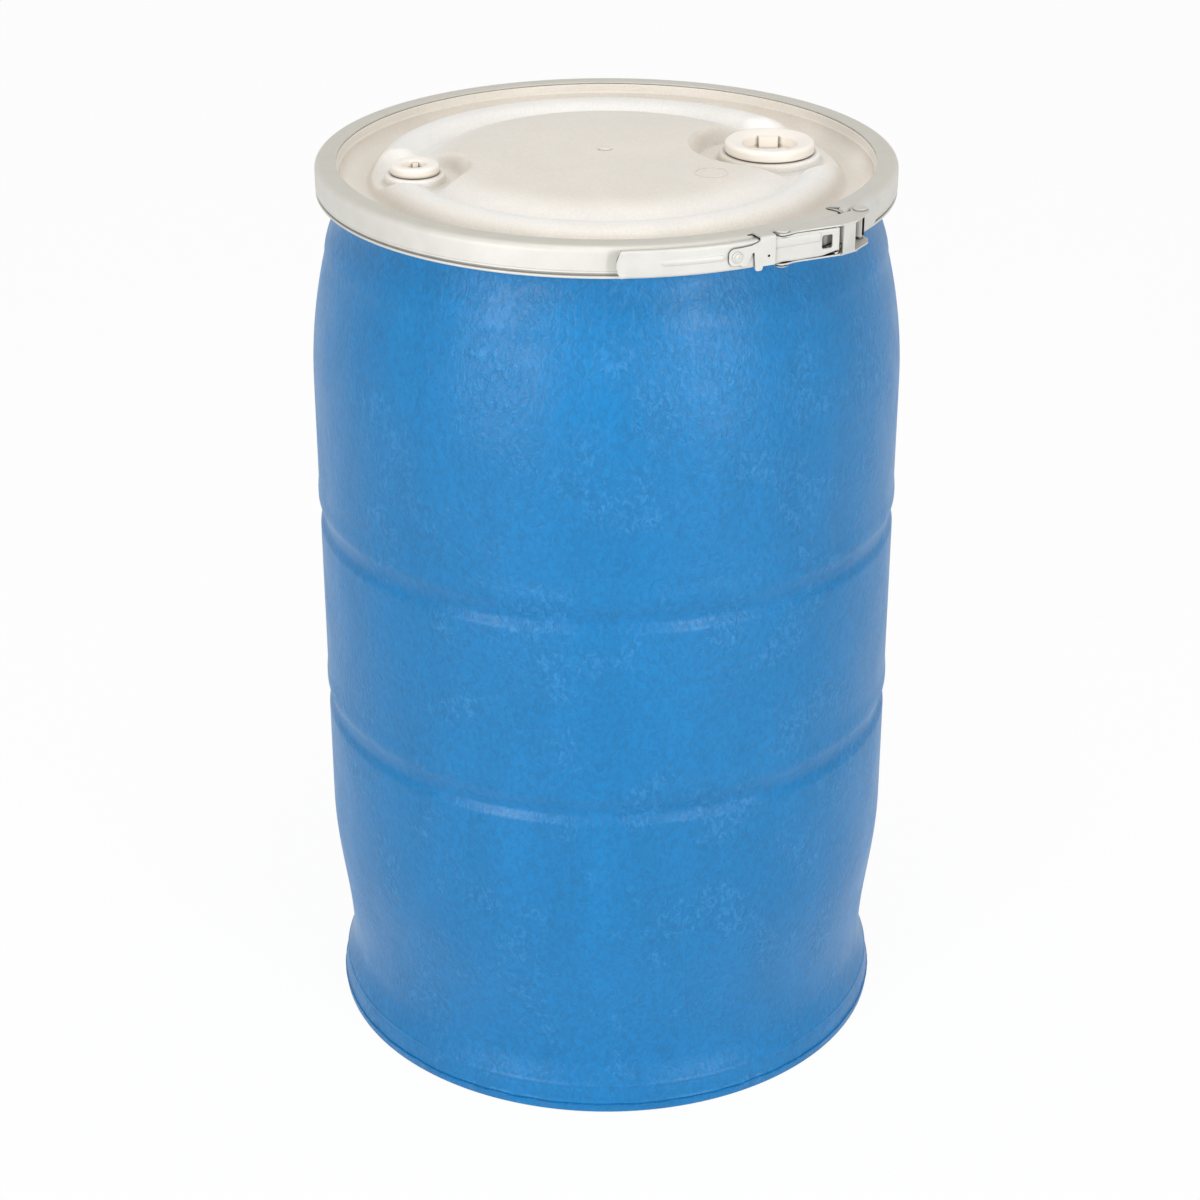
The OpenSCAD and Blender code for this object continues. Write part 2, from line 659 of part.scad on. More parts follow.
// The link, drawn along +X from the link pin to the catch pin with the drum at +Y: two arms,
// whose inner edge is flush with the ring's face, and a front web that clears the fulcrum
module link() color(steel) translate([link_at[0], link_at[1], 0]) rotate([0, 0, link_dir]) {
    in_y = link_at * link_out - ring_r;
    out_y = (fulcrum_at - link_at) * link_out + knuckle_r + clear + link_t;
    end_r = (out_y + link_off) / 2;
    web_x = link_run - 20.5;
    difference() {
        union() {
            for (z = [arm_low_z, arm_top_z]) {
                translate([0, link_off - end_r, z]) cylinder(r = end_r, h = link_t);
                translate([link_run, 0, z]) cylinder(r = out_y, h = link_t);
                translate([0, -out_y, z]) cube([link_run, out_y + in_y, link_t]);
            }
            translate([web_x, -out_y, arm_low_z])
                cube([web_w, link_t, arm_top_z + link_t - arm_low_z]);
        }
        for (x = [0, link_run]) translate([x, 0, arm_low_z - 1])
            cylinder(r = pin_r, h = lever_h + 6);
    }
}

// ---- Safety latch ----

plate_end_az = rivet_az + plate_len / plate_out_r * rad;
tab_az = plate_end_az - tab_w / plate_out_r * rad;
tab_in_r = ring_r - 4.2;
tab_z = max(lever_top, ring_top) + clear;

// The plate's outline, seen from outside, with the rivet at the origin
module plate_outline() {
    eye_r = rivet_head_r + 2.3;
    low = 0.6 - lever_h / 2;
    high = tab_z + plate_t - mid_z;
    tab_x = plate_len - tab_w;
    notch_low = low - 2 * lug_r;
    difference() {
        union() {
            circle(r = eye_r);
            polygon([[0, -eye_r], [4, low + 2.4], [notch_x - notch_w, low + 2], [notch_x, low],
                [plate_len + 1, low], [plate_len + 1, high], [tab_x, high], [tab_x - 0.8, neck_up + 3],
                [tab_x - 3, neck_up + 1.2], [tab_x - 7, neck_up + 0.2], [4, neck_up - 0.3], [0, eye_r]]);
            translate([lug_x, low - lug_r / 4]) circle(r = lug_r);
        }
        circle(r = rivet_r + run_clear);
        translate([seal_x, -2.5]) circle(r = seal_r);
        polygon([[notch_x - notch_w, notch_low], [notch_x - notch_w, low + 2], [notch_x - 0.5, 1],
            [notch_x + 0.5, 1], [notch_x + 1.2, low], [notch_x + 1.2, notch_low]]);
    }
}

// The plate follows the lever's curve. Its tab reaches over the lever's top edge and down
// through a slot in the ring's top.
module latch_plate() color(steel) {
    intersection() {
        sector(rivet_az - 3, plate_end_az, plate_in_r, plate_out_r, lever_z - lug_r * 2,
            tab_z + plate_t);
        polar(rivet_az) translate([plate_in_r - 10, 0, mid_z]) rotate([90, 0, 90])
            linear_extrude(20) plate_outline();
    }
    sector(tab_az, plate_end_az, tab_in_r, plate_out_r, tab_z, tab_z + plate_t);
    sector(tab_az, plate_end_az, tab_in_r, tab_in_r + plate_t, tab_z - 3.5, tab_z + plate_t);
}

module latch_rivet() color(steel) polar(rivet_az) translate([0, 0, mid_z]) rotate([0, 90, 0]) {
    translate([0, 0, lever_in_r - 0.8]) cylinder(r = rivet_head_r, h = 0.8);
    translate([0, 0, lever_in_r - 0.4]) cylinder(r = rivet_r, h = plate_out_r - lever_in_r + 0.8);
    translate([0, 0, plate_out_r + 0.2]) cylinder(r1 = rivet_head_r, r2 = rivet_head_r - 1, h = 0.9);
}

drum_body();
lid();
lid_gasket();
large_plug();
large_plug_gasket();
small_plug();
small_plug_gasket();
ring_band();
fulcrum_bracket();
catch_bracket();
lever();
fulcrum_pin();
link();
link_pin();
catch_pin();
latch_plate();
latch_rivet();
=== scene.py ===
"""Looks of the plastic open head drum: a blown body, a moulded lid with two screw plugs, and a
closing ring with its lever latch. Lengths are in millimetres in the code and in metres in
Blender. Azimuth 0 is the front, -Y, and azimuths grow towards +X."""

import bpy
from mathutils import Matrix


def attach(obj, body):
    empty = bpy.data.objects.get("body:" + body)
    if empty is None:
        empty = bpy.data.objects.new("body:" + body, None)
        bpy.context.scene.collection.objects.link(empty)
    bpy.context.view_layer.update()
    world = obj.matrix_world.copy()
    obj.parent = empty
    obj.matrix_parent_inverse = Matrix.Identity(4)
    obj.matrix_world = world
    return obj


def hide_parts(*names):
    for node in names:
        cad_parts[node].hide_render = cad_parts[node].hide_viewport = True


bl_info = {
    "name": "Open Head Drum",
    "version": (1, 0, 0),
    "blender": (4, 5, 0),
    "location": "3D Viewport > Sidebar > Drum",
    "description": "Builds a plastic open head drum, its lid, plugs, closing ring and latch",
    "category": "Object",
}

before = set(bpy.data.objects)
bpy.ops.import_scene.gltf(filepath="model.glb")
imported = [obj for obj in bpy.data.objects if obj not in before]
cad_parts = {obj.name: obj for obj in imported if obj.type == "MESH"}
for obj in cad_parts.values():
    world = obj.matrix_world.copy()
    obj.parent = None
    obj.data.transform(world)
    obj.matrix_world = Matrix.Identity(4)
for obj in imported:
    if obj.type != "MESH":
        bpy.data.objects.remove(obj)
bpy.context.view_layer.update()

from math import atan2, cos, degrees, hypot, pi, radians, sin, tan
from types import SimpleNamespace

import bpy
from bpy.props import FloatProperty, FloatVectorProperty, IntProperty, PointerProperty
from mathutils import Matrix, Vector, noise

MM = 0.001
# Points closer together than this are merged
WELD = 0.005 * MM


# ---- Colours and settings ----

def linear(code):
    """The linear colour of an sRGB hex code"""
    parts = [int(code[i:i + 2], 16) / 255 for i in (1, 3, 5)]
    return tuple(c / 12.92 if c <= 0.04045 else ((c + 0.055) / 1.055) ** 2.4 for c in parts) + (1,)


def length(name, about, size):
    """A length setting, given in millimetres"""
    return FloatProperty(name=name, description=about, default=size * MM, unit='LENGTH', precision=5)


def azimuth(name, about, turn):
    """An angle setting, given in degrees"""
    return FloatProperty(name=name, description=about, default=radians(turn), unit='ROTATION',
                         subtype='ANGLE')


def colour(name, about, code):
    """A colour setting, given as an sRGB hex code"""
    return FloatVectorProperty(name=name, description=about, default=linear(code), subtype='COLOR',
                               size=4, min=0, max=1)


def values(group):
    """A group's settings, with lengths in millimetres and angles in degrees"""
    found = SimpleNamespace()
    for key in group.__annotations__:
        value, unit = getattr(group, key), group.bl_rna.properties[key].unit
        value = value / MM if unit == 'LENGTH' else degrees(value) if unit == 'ROTATION' else value
        setattr(found, key, tuple(value) if hasattr(value, "__len__") else value)
    return found


class DrumBodySettings(bpy.types.PropertyGroup):
    belly: length("Belly", "Radius of the straight belly", 239.8)
    foot: length("Foot", "Radius of the foot flange", 237)
    waist: length("Waist", "Depth of the waist above the foot", 12.2)
    groove: length("Groove", "Depth of the groove under each rolling hoop", 3.5)
    hoop: length("Hoop", "How far each rolling hoop stands out", 0.9)
    low_hoop: length("Lower hoop", "Height of the lower rolling hoop", 307)
    high_hoop: length("Upper hoop", "Height of the upper rolling hoop", 476)
    wall: length("Wall", "Thickness of the blown wall", 4)
    flash: length("Flash", "How far the parting line stands out of the foot", 0.6)
    steps: IntProperty(name="Steps", description="Faces around the body", default=256, min=64)
    blue: colour("Blue", "Colour of the body", "#0573AF")


class LidSettings(bpy.types.PropertyGroup):
    skin: length("Skin", "Thickness of the lid's skin", 3.5)
    plateau: length("Plateau", "Height of the middle plateau", 757)
    crest: length("Crest", "Height of the crescents' crest", 754)
    valley: length("Valley", "Height of the valley inside the crescents", 744)
    pan: length("Pan", "Height of the groove's floor", 736)
    bay: length("Bay", "Height of the bays' floor", 742.5)
    boss: length("Boss", "Height of the plugs' bosses", 750.1)
    slope: length("Bay wall", "Width of the bays' sloping walls", 6)
    horn: length("Crescent end", "Length of the slope at the crescents' ends", 14)
    steps: IntProperty(name="Steps", description="Faces around the lid", default=512, min=96)
    natural: colour("Natural", "Colour of the lid", "#F5F2ED")
    # The middle colour also stands for painted shade in the lid's groove
    middle: colour("Middle", "Colour of the lid's plateau", "#E8E1D6")


class PlugSettings(bpy.types.PropertyGroup):
    seat: length("Seat", "Height of the plugs' flanges over the floor", 751.8)
    line: azimuth("Line", "Direction of the line through both plugs, from +X", 11.8)
    large_off: length("Large plug", "Distance of the large plug from the drum's axis", 133.8)
    small_off: length("Small plug", "Distance of the small plug from the drum's axis", 153.5)
    large_pitch: length("Large pitch", "Pitch of the large plug's thread", 5.08)
    small_pitch: length("Small pitch", "Pitch of the small plug's thread", 1.814)
    white: colour("White", "Colour of the plugs", "#FAF3E9")


class RingSettings(bpy.types.PropertyGroup):
    face: length("Face", "Radius of the ring's face", 231)
    top: length("Top", "Height of the ring's top", 756)
    low: length("Low", "Height of the ring's lower leg", 731.6)
    sheet: length("Sheet", "Thickness of the ring's sheet", 1.2)
    gap: azimuth("Gap", "Azimuth of the gap between the ring's ends", 49.3)
    gap_width: azimuth("Gap width", "Width of that gap", 1.2)
    grey: colour("Grey", "Colour of the galvanised ring", "#D3D1CA")


class LatchSettings(bpy.types.PropertyGroup):
    low: length("Low", "Height of the lever's lower edge", 734.3)
    height: length("Height", "Height of the lever", 20.8)
    face: length("Face", "Radius of the lever's face", 238.5)
    sheet: length("Sheet", "Thickness of the lever's sheet", 1.3)
    flange: length("Flange", "Depth of the lever's flanges along its handle", 3.6)
    end: azimuth("End", "Azimuth of the lever's free end", 2.5)
    straight: azimuth("Straight", "Azimuth where the lever leaves the ring's curve and runs straight", 26)
    face_end: azimuth("Face end", "Azimuth where the lever's face ends before the fulcrum", 43.25)
    link: azimuth("Link pin", "Azimuth of the pin between lever and link", 33)
    link_off: length("Link pin radius", "Radius of that pin", 234.6)
    fulcrum: azimuth("Fulcrum", "Azimuth of the fulcrum pin", 47.3)
    fulcrum_off: length("Fulcrum radius", "Radius of the fulcrum pin", 235.1)
    catch: azimuth("Catch", "Azimuth of the pin in the catch", 52.6)
    catch_off: length("Catch radius", "Radius of that pin", 238)
    pin: length("Pin", "Radius of the hinge pins", 2)
    rivet: azimuth("Rivet", "Azimuth of the safety latch's rivet", 23.1881)
    zinc: colour("Zinc", "Colour of the pressed steel", "#CFCEC9")


class StageSettings(bpy.types.PropertyGroup):
    focal: FloatProperty(name="Focal length", description="Lens of the camera", default=80.91, unit='CAMERA')
    floor: colour("Floor", "Colour of the floor", "#FFFFFF")
    daylight: FloatProperty(name="Daylight", description="Strength of the even light", default=0.42, min=0)


# ---- Modelling ----

def activate(piece):
    """Selects one piece alone, in object mode"""
    if bpy.context.object and bpy.context.object.mode != 'OBJECT':
        bpy.ops.object.mode_set(mode='OBJECT')
    bpy.ops.object.select_all(action='DESELECT')
    if piece:
        bpy.context.view_layer.objects.active = piece
        piece.select_set(True)


def edit(piece):
    """Opens a piece in edit mode with all of it selected"""
    activate(piece)
    bpy.ops.object.mode_set(mode='EDIT')
    bpy.ops.mesh.select_all(action='SELECT')


def close(piece):
    """Merges doubled points, turns the faces outwards and leaves edit mode"""
    bpy.ops.mesh.select_all(action='SELECT')
    bpy.ops.mesh.remove_doubles(threshold=WELD)
    bpy.ops.mesh.delete_loose(use_verts=True, use_edges=True, use_faces=False)
    bpy.ops.mesh.select_all(action='SELECT')
    bpy.ops.mesh.normals_make_consistent(inside=False)
    bpy.ops.object.mode_set(mode='OBJECT')
    return piece


def loop(name, points):
    """A closed loop of edges through the given points"""
    activate(None)
    bpy.ops.mesh.primitive_circle_add(vertices=len(points), fill_type='NOTHING')
    piece = bpy.context.object
    piece.name = piece.data.name = name
    for vertex, point in zip(piece.data.vertices, points):
        vertex.co = Vector(point) * MM
    return piece


def at(turn, off):
    """The point at an azimuth and a radius"""
    return off * sin(radians(turn)), -off * cos(radians(turn))


def turned(name, section, steps, start=0, sweep=360, centre=(0, 0)):
    """A section of radii and heights spun about an upright axis"""
    points = []
    for off, height in section:
        x, y = at(start, off)
        points.append((centre[0] + x, centre[1] + y, height))
    piece = loop(name, points)
    edit(piece)
    bpy.ops.mesh.spin(steps=steps, angle=-radians(sweep), axis=(0, 0, 1),
                      center=(centre[0] * MM, centre[1] * MM, 0))
    bpy.ops.mesh.select_all(action='SELECT')
    bpy.ops.mesh.remove_doubles(threshold=WELD)
    if sweep < 360:
        bpy.ops.mesh.fill_holes(sides=0)
    return close(piece)


def slab(name, outline, low, high):
    """An outline in x and y raised from one level to another"""
    piece = loop(name, [(x, y, low) for x, y in outline])
    edit(piece)
    bpy.ops.mesh.edge_face_add()
    bpy.ops.mesh.extrude_region_move(TRANSFORM_OT_translate={"value": (0, 0, (high - low) * MM)})
    return close(piece)


def rounded(corners, steps=5):
    """A closed outline with each corner, given as x, y and radius, rounded"""
    outline = []
    for i, (x, y, size) in enumerate(corners):
        here = Vector((x, y))
        if not size:
            outline.append((x, y))
            continue
        back = Vector(corners[i - 1][:2]) - here
        on = Vector(corners[(i + 1) % len(corners)][:2]) - here
        half = back.angle(on) / 2
        trim = min(size / tan(half), back.length * 0.49, on.length * 0.49)
        middle = here + (back.normalized() + on.normalized()).normalized() * (trim / cos(half))
        first, last = here + back.normalized() * trim - middle, here + on.normalized() * trim - middle
        spread = first.angle(last)
        for k in range(steps + 1):
            share = k / steps
            point = middle + (first * sin((1 - share) * spread) + last * sin(share * spread)) / sin(spread)
            outline.append((point.x, point.y))
    return outline


def placed(piece, matrix):
    """Moves a piece's mesh by a matrix whose shifts are in millimetres"""
    matrix = matrix.copy()
    matrix.translation *= MM
    piece.matrix_world = matrix @ piece.matrix_world
    activate(piece)
    bpy.ops.object.transform_apply(location=True, rotation=True, scale=True)
    return piece


def shift(x, y, z):
    """Moves by millimetres"""
    return Matrix.Translation((x, y, z))


def swing(turn, axis='Z'):
    """Turns by degrees about an axis through the origin"""
    return Matrix.Rotation(radians(turn), 4, axis)


def polar(turn):
    """Turns +X, radially outwards, to an azimuth"""
    return swing(turn - 90)


def combine(piece, tool, how='UNION'):
    """Joins a tool to a piece, or cuts it out where told so, and removes the tool"""
    activate(piece)
    modifier = piece.modifiers.new("Combine", 'BOOLEAN')
    modifier.object, modifier.operation, modifier.solver = tool, how, 'MANIFOLD'
    bpy.ops.object.modifier_apply(modifier=modifier.name)
    bpy.data.objects.remove(tool)
    if not piece.data.polygons:
        raise RuntimeError(f"{piece.name} came out empty")


def cut(piece, tool):
    """Cuts a tool out of a piece and removes the tool"""
    combine(piece, tool, 'DIFFERENCE')


def soften(piece, width, angle=50):
    """Rounds a piece's sharp edges with a bevel"""
    activate(piece)
    modifier = piece.modifiers.new("Soften", 'BEVEL')
    modifier.width, modifier.segments = width * MM, 2
    modifier.limit_method, modifier.angle_limit = 'ANGLE', radians(angle)
    bpy.ops.object.modifier_apply(modifier=modifier.name)


def wrapped(piece, start, off, ends):
    """Wraps a flat plate around the drum's axis: x runs around, y up, z outwards"""
    edit(piece)
    low, high = ends
    apart = 3
    for k in range(1, int((high - low) / apart)):
        bpy.ops.mesh.select_all(action='SELECT')
        bpy.ops.mesh.bisect(plane_co=((low + apart * k) * MM, 0, 0), plane_no=(1, 0, 0))
    bpy.ops.object.mode_set(mode='OBJECT')
    for vertex in piece.data.vertices:
        x, y, z = vertex.co / MM
        across, along = at(start + degrees(x / off), z)
        vertex.co = Vector((across, along, y)) * MM
    edit(piece)
    return close(piece)


def bar(name, centre, size, low, high, sides=48):
    """An upright round bar, to be joined to a piece or cut out of it"""
    activate(None)
    bpy.ops.mesh.primitive_cylinder_add(vertices=sides, radius=size * MM, depth=(high - low) * MM,
                                        location=(centre[0] * MM, centre[1] * MM, (low + high) / 2 * MM))
    piece = bpy.context.object
    piece.name = name
    bpy.ops.object.transform_apply(location=True, rotation=True, scale=True)
    return piece


def block(name, low, high, matrix):
    """A box between two corners, moved by a matrix, to be joined to a piece or cut out of it"""
    activate(None)
    bpy.ops.mesh.primitive_cube_add(size=1)
    piece = bpy.context.object
    piece.name = name
    middle = [(a + b) / 2 for a, b in zip(low, high)]
    sizes = [(b - a) * MM for a, b in zip(low, high)]
    piece.matrix_world = Matrix.Translation([m * MM for m in middle]) @ Matrix.Diagonal(sizes + [1])
    bpy.ops.object.transform_apply(location=True, rotation=True, scale=True)
    return placed(piece, matrix)


def ease(share):
    """A soft step from 0 to 1"""
    share = min(max(share, 0), 1)
    return (1 - cos(pi * share)) / 2


def eased(a, b, count):
    """Points of a soft step from a to b, without a itself"""
    return [(a[0] + (b[0] - a[0]) * ease(k / count), a[1] + (b[1] - a[1]) * k / count)
            for k in range(1, count + 1)]


def reshape(piece, change):
    """Moves each point of a piece, where change takes and gives its azimuth, radius and height"""
    for vertex in piece.data.vertices:
        x, y, z = vertex.co / MM
        turn, off, z = change(degrees(atan2(x, -y)), hypot(x, y), z)
        vertex.co = Vector((*at(turn, off), z)) * MM
    return piece


def straighten(piece, start, face, share):
    """Draws a curved piece out into a straight run from an azimuth on, by a share of each radius"""
    return reshape(piece, lambda turn, off, z: (
        turn, off + share(off) * face * (1 / cos(radians(max(0, turn - start))) - 1), z))


def arc(x, y, size, first, last, count):
    """Points of an arc, from one angle to another in degrees"""
    turns = [radians(first + (last - first) * k / count) for k in range(count + 1)]
    return [(x + size * cos(t), y + size * sin(t)) for t in turns]


# ---- Materials ----

def add(tree, kind, inputs=None, **settings):
    """Adds a node with its settings, sets or links its inputs, and gives its outputs"""
    node = tree.nodes.new(kind)
    for name, value in settings.items():
        setattr(node, name, value)
    for name, value in (inputs or {}).items():
        if isinstance(value, bpy.types.NodeSocket):
            tree.links.new(value, node.inputs[name])
        else:
            node.inputs[name].default_value = value
    return node.outputs


def fresh(name):
    """A new material with an empty node tree"""
    material = bpy.data.materials.new(name)
    material.use_nodes = True
    material.node_tree.nodes.clear()
    return material, material.node_tree


def shade(tone, factor):
    """A linear colour made darker or lighter"""
    return tuple(min(c * factor, 1) for c in tone[:3]) + (1,)


def corner_shade_and_grime(tree, tone, reach, shade_and_grime_colour, full, clear):
    """A tone painted darker towards a dark colour in corners, within a reach in millimetres: painted
    shade, with some grime. The dark colour is full and clear at the given shares of open sky."""
    sky = add(tree, 'ShaderNodeAmbientOcclusion', {"Distance": reach * MM}, samples=12)["AO"]
    open_share = add(tree, 'ShaderNodeMapRange', {"Value": sky, "From Min": full, "From Max": clear})[0]
    return add(tree, 'ShaderNodeMix', {"Factor": open_share, 6: linear(shade_and_grime_colour), 7: tone}, data_type='RGBA')[2]


def blown_polyethylene(blue):
    """High-density polyethylene, blow-moulded. The cold mould leaves a satin skin with a fine
    pebbled grain and a slow drift in tone, and handling leaves faint pale scuffs."""
    material, tree = fresh("blown_polyethylene")
    place = add(tree, 'ShaderNodeTexCoord')["Object"]
    # Pebbles about 4 mm wide and 6 mm tall, drawn coarser than the real ones so that they show
    upright = add(tree, 'ShaderNodeMapping', {"Vector": place, "Scale": (1, 1, 0.7)})[0]
    pebbles = add(tree, 'ShaderNodeTexNoise', {
        "Vector": upright, "Scale": 1 / 0.004, "Detail": 3, "Roughness": 0.6, "Distortion": 0.8})[0]
    # Patches of stronger grain about 50 mm across
    patch = add(tree, 'ShaderNodeTexNoise', {"Vector": place, "Scale": 1 / 0.05, "Detail": 2})[0]
    where = add(tree, 'ShaderNodeMapRange', {
        "Value": patch, "From Min": 0.42, "From Max": 0.62, "To Min": 0.35, "To Max": 1})[0]
    relief = add(tree, 'ShaderNodeMath', {0: pebbles, 1: where}, operation='MULTIPLY')[0]
    # Long waves in the wall, about 35 mm wide and 140 mm tall
    tall = add(tree, 'ShaderNodeMapping', {"Vector": place, "Scale": (1, 1, 0.25)})[0]
    wave = add(tree, 'ShaderNodeTexNoise', {"Vector": tall, "Scale": 1 / 0.035, "Detail": 1})[0]
    slow = add(tree, 'ShaderNodeBump', {"Height": wave, "Strength": 0.35, "Distance": 1.2 * MM})[0]
    fine = add(tree, 'ShaderNodeBump', {
        "Height": relief, "Strength": 1.0, "Distance": 1.3 * MM, "Normal": slow})[0]
    drift = add(tree, 'ShaderNodeMix', {
        "Factor": wave, 6: shade(blue, 0.9), 7: shade(blue, 1.12)}, data_type='RGBA')[2]
    # Painted shade darkens the valleys between the pebbles, and their tops are painted lighter as painted
    # highlight
    valley = add(tree, 'ShaderNodeMapRange', {
        "Value": pebbles, "From Min": 0.35, "From Max": 0.62, "To Min": 0.88, "To Max": 1.08})[0]
    tone = add(tree, 'ShaderNodeVectorMath', {0: drift, "Scale": valley}, operation='SCALE')[0]
    # Scuffs lie on the highest pebbles
    scuff = add(tree, 'ShaderNodeMapRange', {
        "Value": relief, "From Min": 0.5, "From Max": 0.7, "To Max": 0.22})[0]
    skin = add(tree, 'ShaderNodeMix', {"Factor": scuff, 6: tone, 7: linear("#5C9FD4")}, data_type='RGBA')[2]
    gloss = add(tree, 'ShaderNodeMapRange', {"Value": patch, "To Min": 0.3, "To Max": 0.44})[0]
    shader = add(tree, 'ShaderNodeBsdfPrincipled', {
        "Base Color": skin, "Roughness": gloss, "IOR": 1.5, "Specular IOR Level": 0.38, "Normal": fine})
    add(tree, 'ShaderNodeOutputMaterial', {"Surface": shader[0]})
    return material


def moulded_polyethylene(natural, middle):
    """Natural polyethylene, injection-moulded. The unpigmented plastic looks like pale wax, with a
    soft satin gloss and a very fine orange peel. The plateau is a little darker, the groove is painted
    darker as painted shade, and the corners are painted darker as painted shade with some dust."""
    material, tree = fresh("moulded_polyethylene")
    place = add(tree, 'ShaderNodeTexCoord')["Object"]
    # The darker tone fades out from 120 to 152 mm off the axis, and comes back from 170 to 186 mm
    #  as painted shade in the groove
    flat = add(tree, 'ShaderNodeVectorMath', {0: place, 1: (1, 1, 0)}, operation='MULTIPLY')[0]
    off = add(tree, 'ShaderNodeVectorMath', {0: flat}, operation='LENGTH')["Value"]
    beyond = add(tree, 'ShaderNodeMapRange', {"Value": off, "From Min": 0.12, "From Max": 0.152})[0]
    within = add(tree, 'ShaderNodeMapRange', {
        "Value": off, "From Min": 0.17, "From Max": 0.186, "To Min": 1, "To Max": 0})[0]
    band = add(tree, 'ShaderNodeMath', {0: beyond, 1: within}, operation='MULTIPLY')[0]
    resin = add(tree, 'ShaderNodeMix', {"Factor": band, 6: middle, 7: natural}, data_type='RGBA')[2]
    # Orange peel about 1.6 mm across
    peel = add(tree, 'ShaderNodeTexNoise', {"Vector": place, "Scale": 1 / 0.0016, "Detail": 1})[0]
    # Flow marks about 70 mm across
    flow = add(tree, 'ShaderNodeTexNoise', {
        "Vector": place, "Scale": 1 / 0.07, "Detail": 3, "Distortion": 0.6})[0]
    # Dusty specks about 2 mm across, stronger in some flow marks than in others
    dust_and_top_shade = add(tree, 'ShaderNodeTexNoise', {"Vector": place, "Scale": 1 / 0.002, "Detail": 2})[0]
    blot = add(tree, 'ShaderNodeMath', {0: flow, 1: dust_and_top_shade}, operation='ADD')[0]
    tint = add(tree, 'ShaderNodeMapRange', {
        "Value": blot, "From Min": 0.7, "From Max": 1.3, "To Min": 0.93, "To Max": 1.03})[0]
    tone = add(tree, 'ShaderNodeVectorMath', {0: resin, "Scale": tint}, operation='SCALE')[0]
    # Painted shade with some dust: the corners darken within 8 mm
    skin = corner_shade_and_grime(tree, tone, 8, "#7D6E5B", 0.22, 0.86)
    fine = add(tree, 'ShaderNodeBump', {"Height": peel, "Strength": 0.12, "Distance": 0.08 * MM})[0]
    gloss = add(tree, 'ShaderNodeMapRange', {"Value": flow, "To Min": 0.36, "To Max": 0.48})[0]
    shader = add(tree, 'ShaderNodeBsdfPrincipled', {
        "Base Color": skin, "Roughness": gloss, "IOR": 1.5, "Normal": fine,
        "Subsurface Weight": 0.08, "Subsurface Radius": (0.9, 0.7, 0.5), "Subsurface Scale": 1 * MM})
    add(tree, 'ShaderNodeOutputMaterial', {"Surface": shader[0]})
    return material


def plug_polyethylene(white):
    """White polyethylene, injection-moulded. Creamier than the lid, smooth and slightly glossier,
    so that its rounded flange carries a soft highlight."""
    material, tree = fresh("plug_polyethylene")
    place = add(tree, 'ShaderNodeTexCoord')["Object"]
    # Sink marks about 12 mm across
    sink = add(tree, 'ShaderNodeTexNoise', {"Vector": place, "Scale": 1 / 0.012, "Detail": 1})[0]
    tone = add(tree, 'ShaderNodeMix', {
        "Factor": sink, 6: shade(white, 0.97), 7: shade(white, 1.03)}, data_type='RGBA')[2]
    fine = add(tree, 'ShaderNodeBump', {"Height": sink, "Strength": 0.2, "Distance": 0.2 * MM})[0]
    # Painted shade with some grime: the corners darken within 4 mm
    skin = corner_shade_and_grime(tree, tone, 4, "#8F7E66", 0.35, 0.85)
    shader = add(tree, 'ShaderNodeBsdfPrincipled', {
        "Base Color": skin, "Roughness": 0.34, "IOR": 1.5, "Normal": fine})
    add(tree, 'ShaderNodeOutputMaterial', {"Surface": shader[0]})
    return material


def galvanised_steel(name, grey, spacing):
    """Galvanised strip steel, rolled and pressed. The zinc turns it a dull pale grey with faint
    clouds and short rolling lines along the strip, and no sharp reflection. Upward faces are painted
    duller and darker as painted shade, and painted shade with some grime darkens the corners and
    draws a dark line where one piece lies on another."""
    material, tree = fresh(name)
    place = add(tree, 'ShaderNodeTexCoord')["Object"]
    # Zinc clouds about 18 mm across
    cloud = add(tree, 'ShaderNodeTexNoise', {"Vector": place, "Scale": 1 / 0.018, "Detail": 3})[0]
    # Rolling lines, drawn coarser than the real ones so that they show
    level = add(tree, 'ShaderNodeMapping', {"Vector": place, "Scale": (0.12, 0.12, 1)})[0]
    lines = add(tree, 'ShaderNodeTexNoise', {"Vector": level, "Scale": 1 / (spacing * MM), "Detail": 2})[0]
    tone = add(tree, 'ShaderNodeMix', {
        "Factor": cloud, 6: shade(grey, 0.88), 7: shade(grey, 1.08)}, data_type='RGBA')[2]
    # Painted shade: what faces upwards is painted a duller, darker beige grey
    normal = add(tree, 'ShaderNodeNewGeometry')["Normal"]
    up = add(tree, 'ShaderNodeSeparateXYZ', {"Vector": normal})["Z"]
    dust_and_top_shade = add(tree, 'ShaderNodeMapRange', {"Value": up, "From Min": 0.3, "To Max": 0.4})[0]
    top_shaded = add(tree, 'ShaderNodeMix', {"Factor": dust_and_top_shade, 6: tone, 7: linear("#B9B3A4")}, data_type='RGBA')[2]
    # Painted shade with some grime: the corners darken within 3 mm, and dark lines are drawn where pieces
    # meet
    skin = corner_shade_and_grime(tree, top_shaded, 3, "#1E1B17", 0.45, 0.88)
    fine = add(tree, 'ShaderNodeBump', {"Height": lines, "Strength": 0.3, "Distance": 0.15 * MM})[0]
    gloss = add(tree, 'ShaderNodeMapRange', {"Value": cloud, "To Min": 0.46, "To Max": 0.6})[0]
    shader = add(tree, 'ShaderNodeBsdfPrincipled', {
        "Base Color": skin, "Metallic": 0.25, "Roughness": gloss, "Normal": fine})
    add(tree, 'ShaderNodeOutputMaterial', {"Surface": shader[0]})
    return material


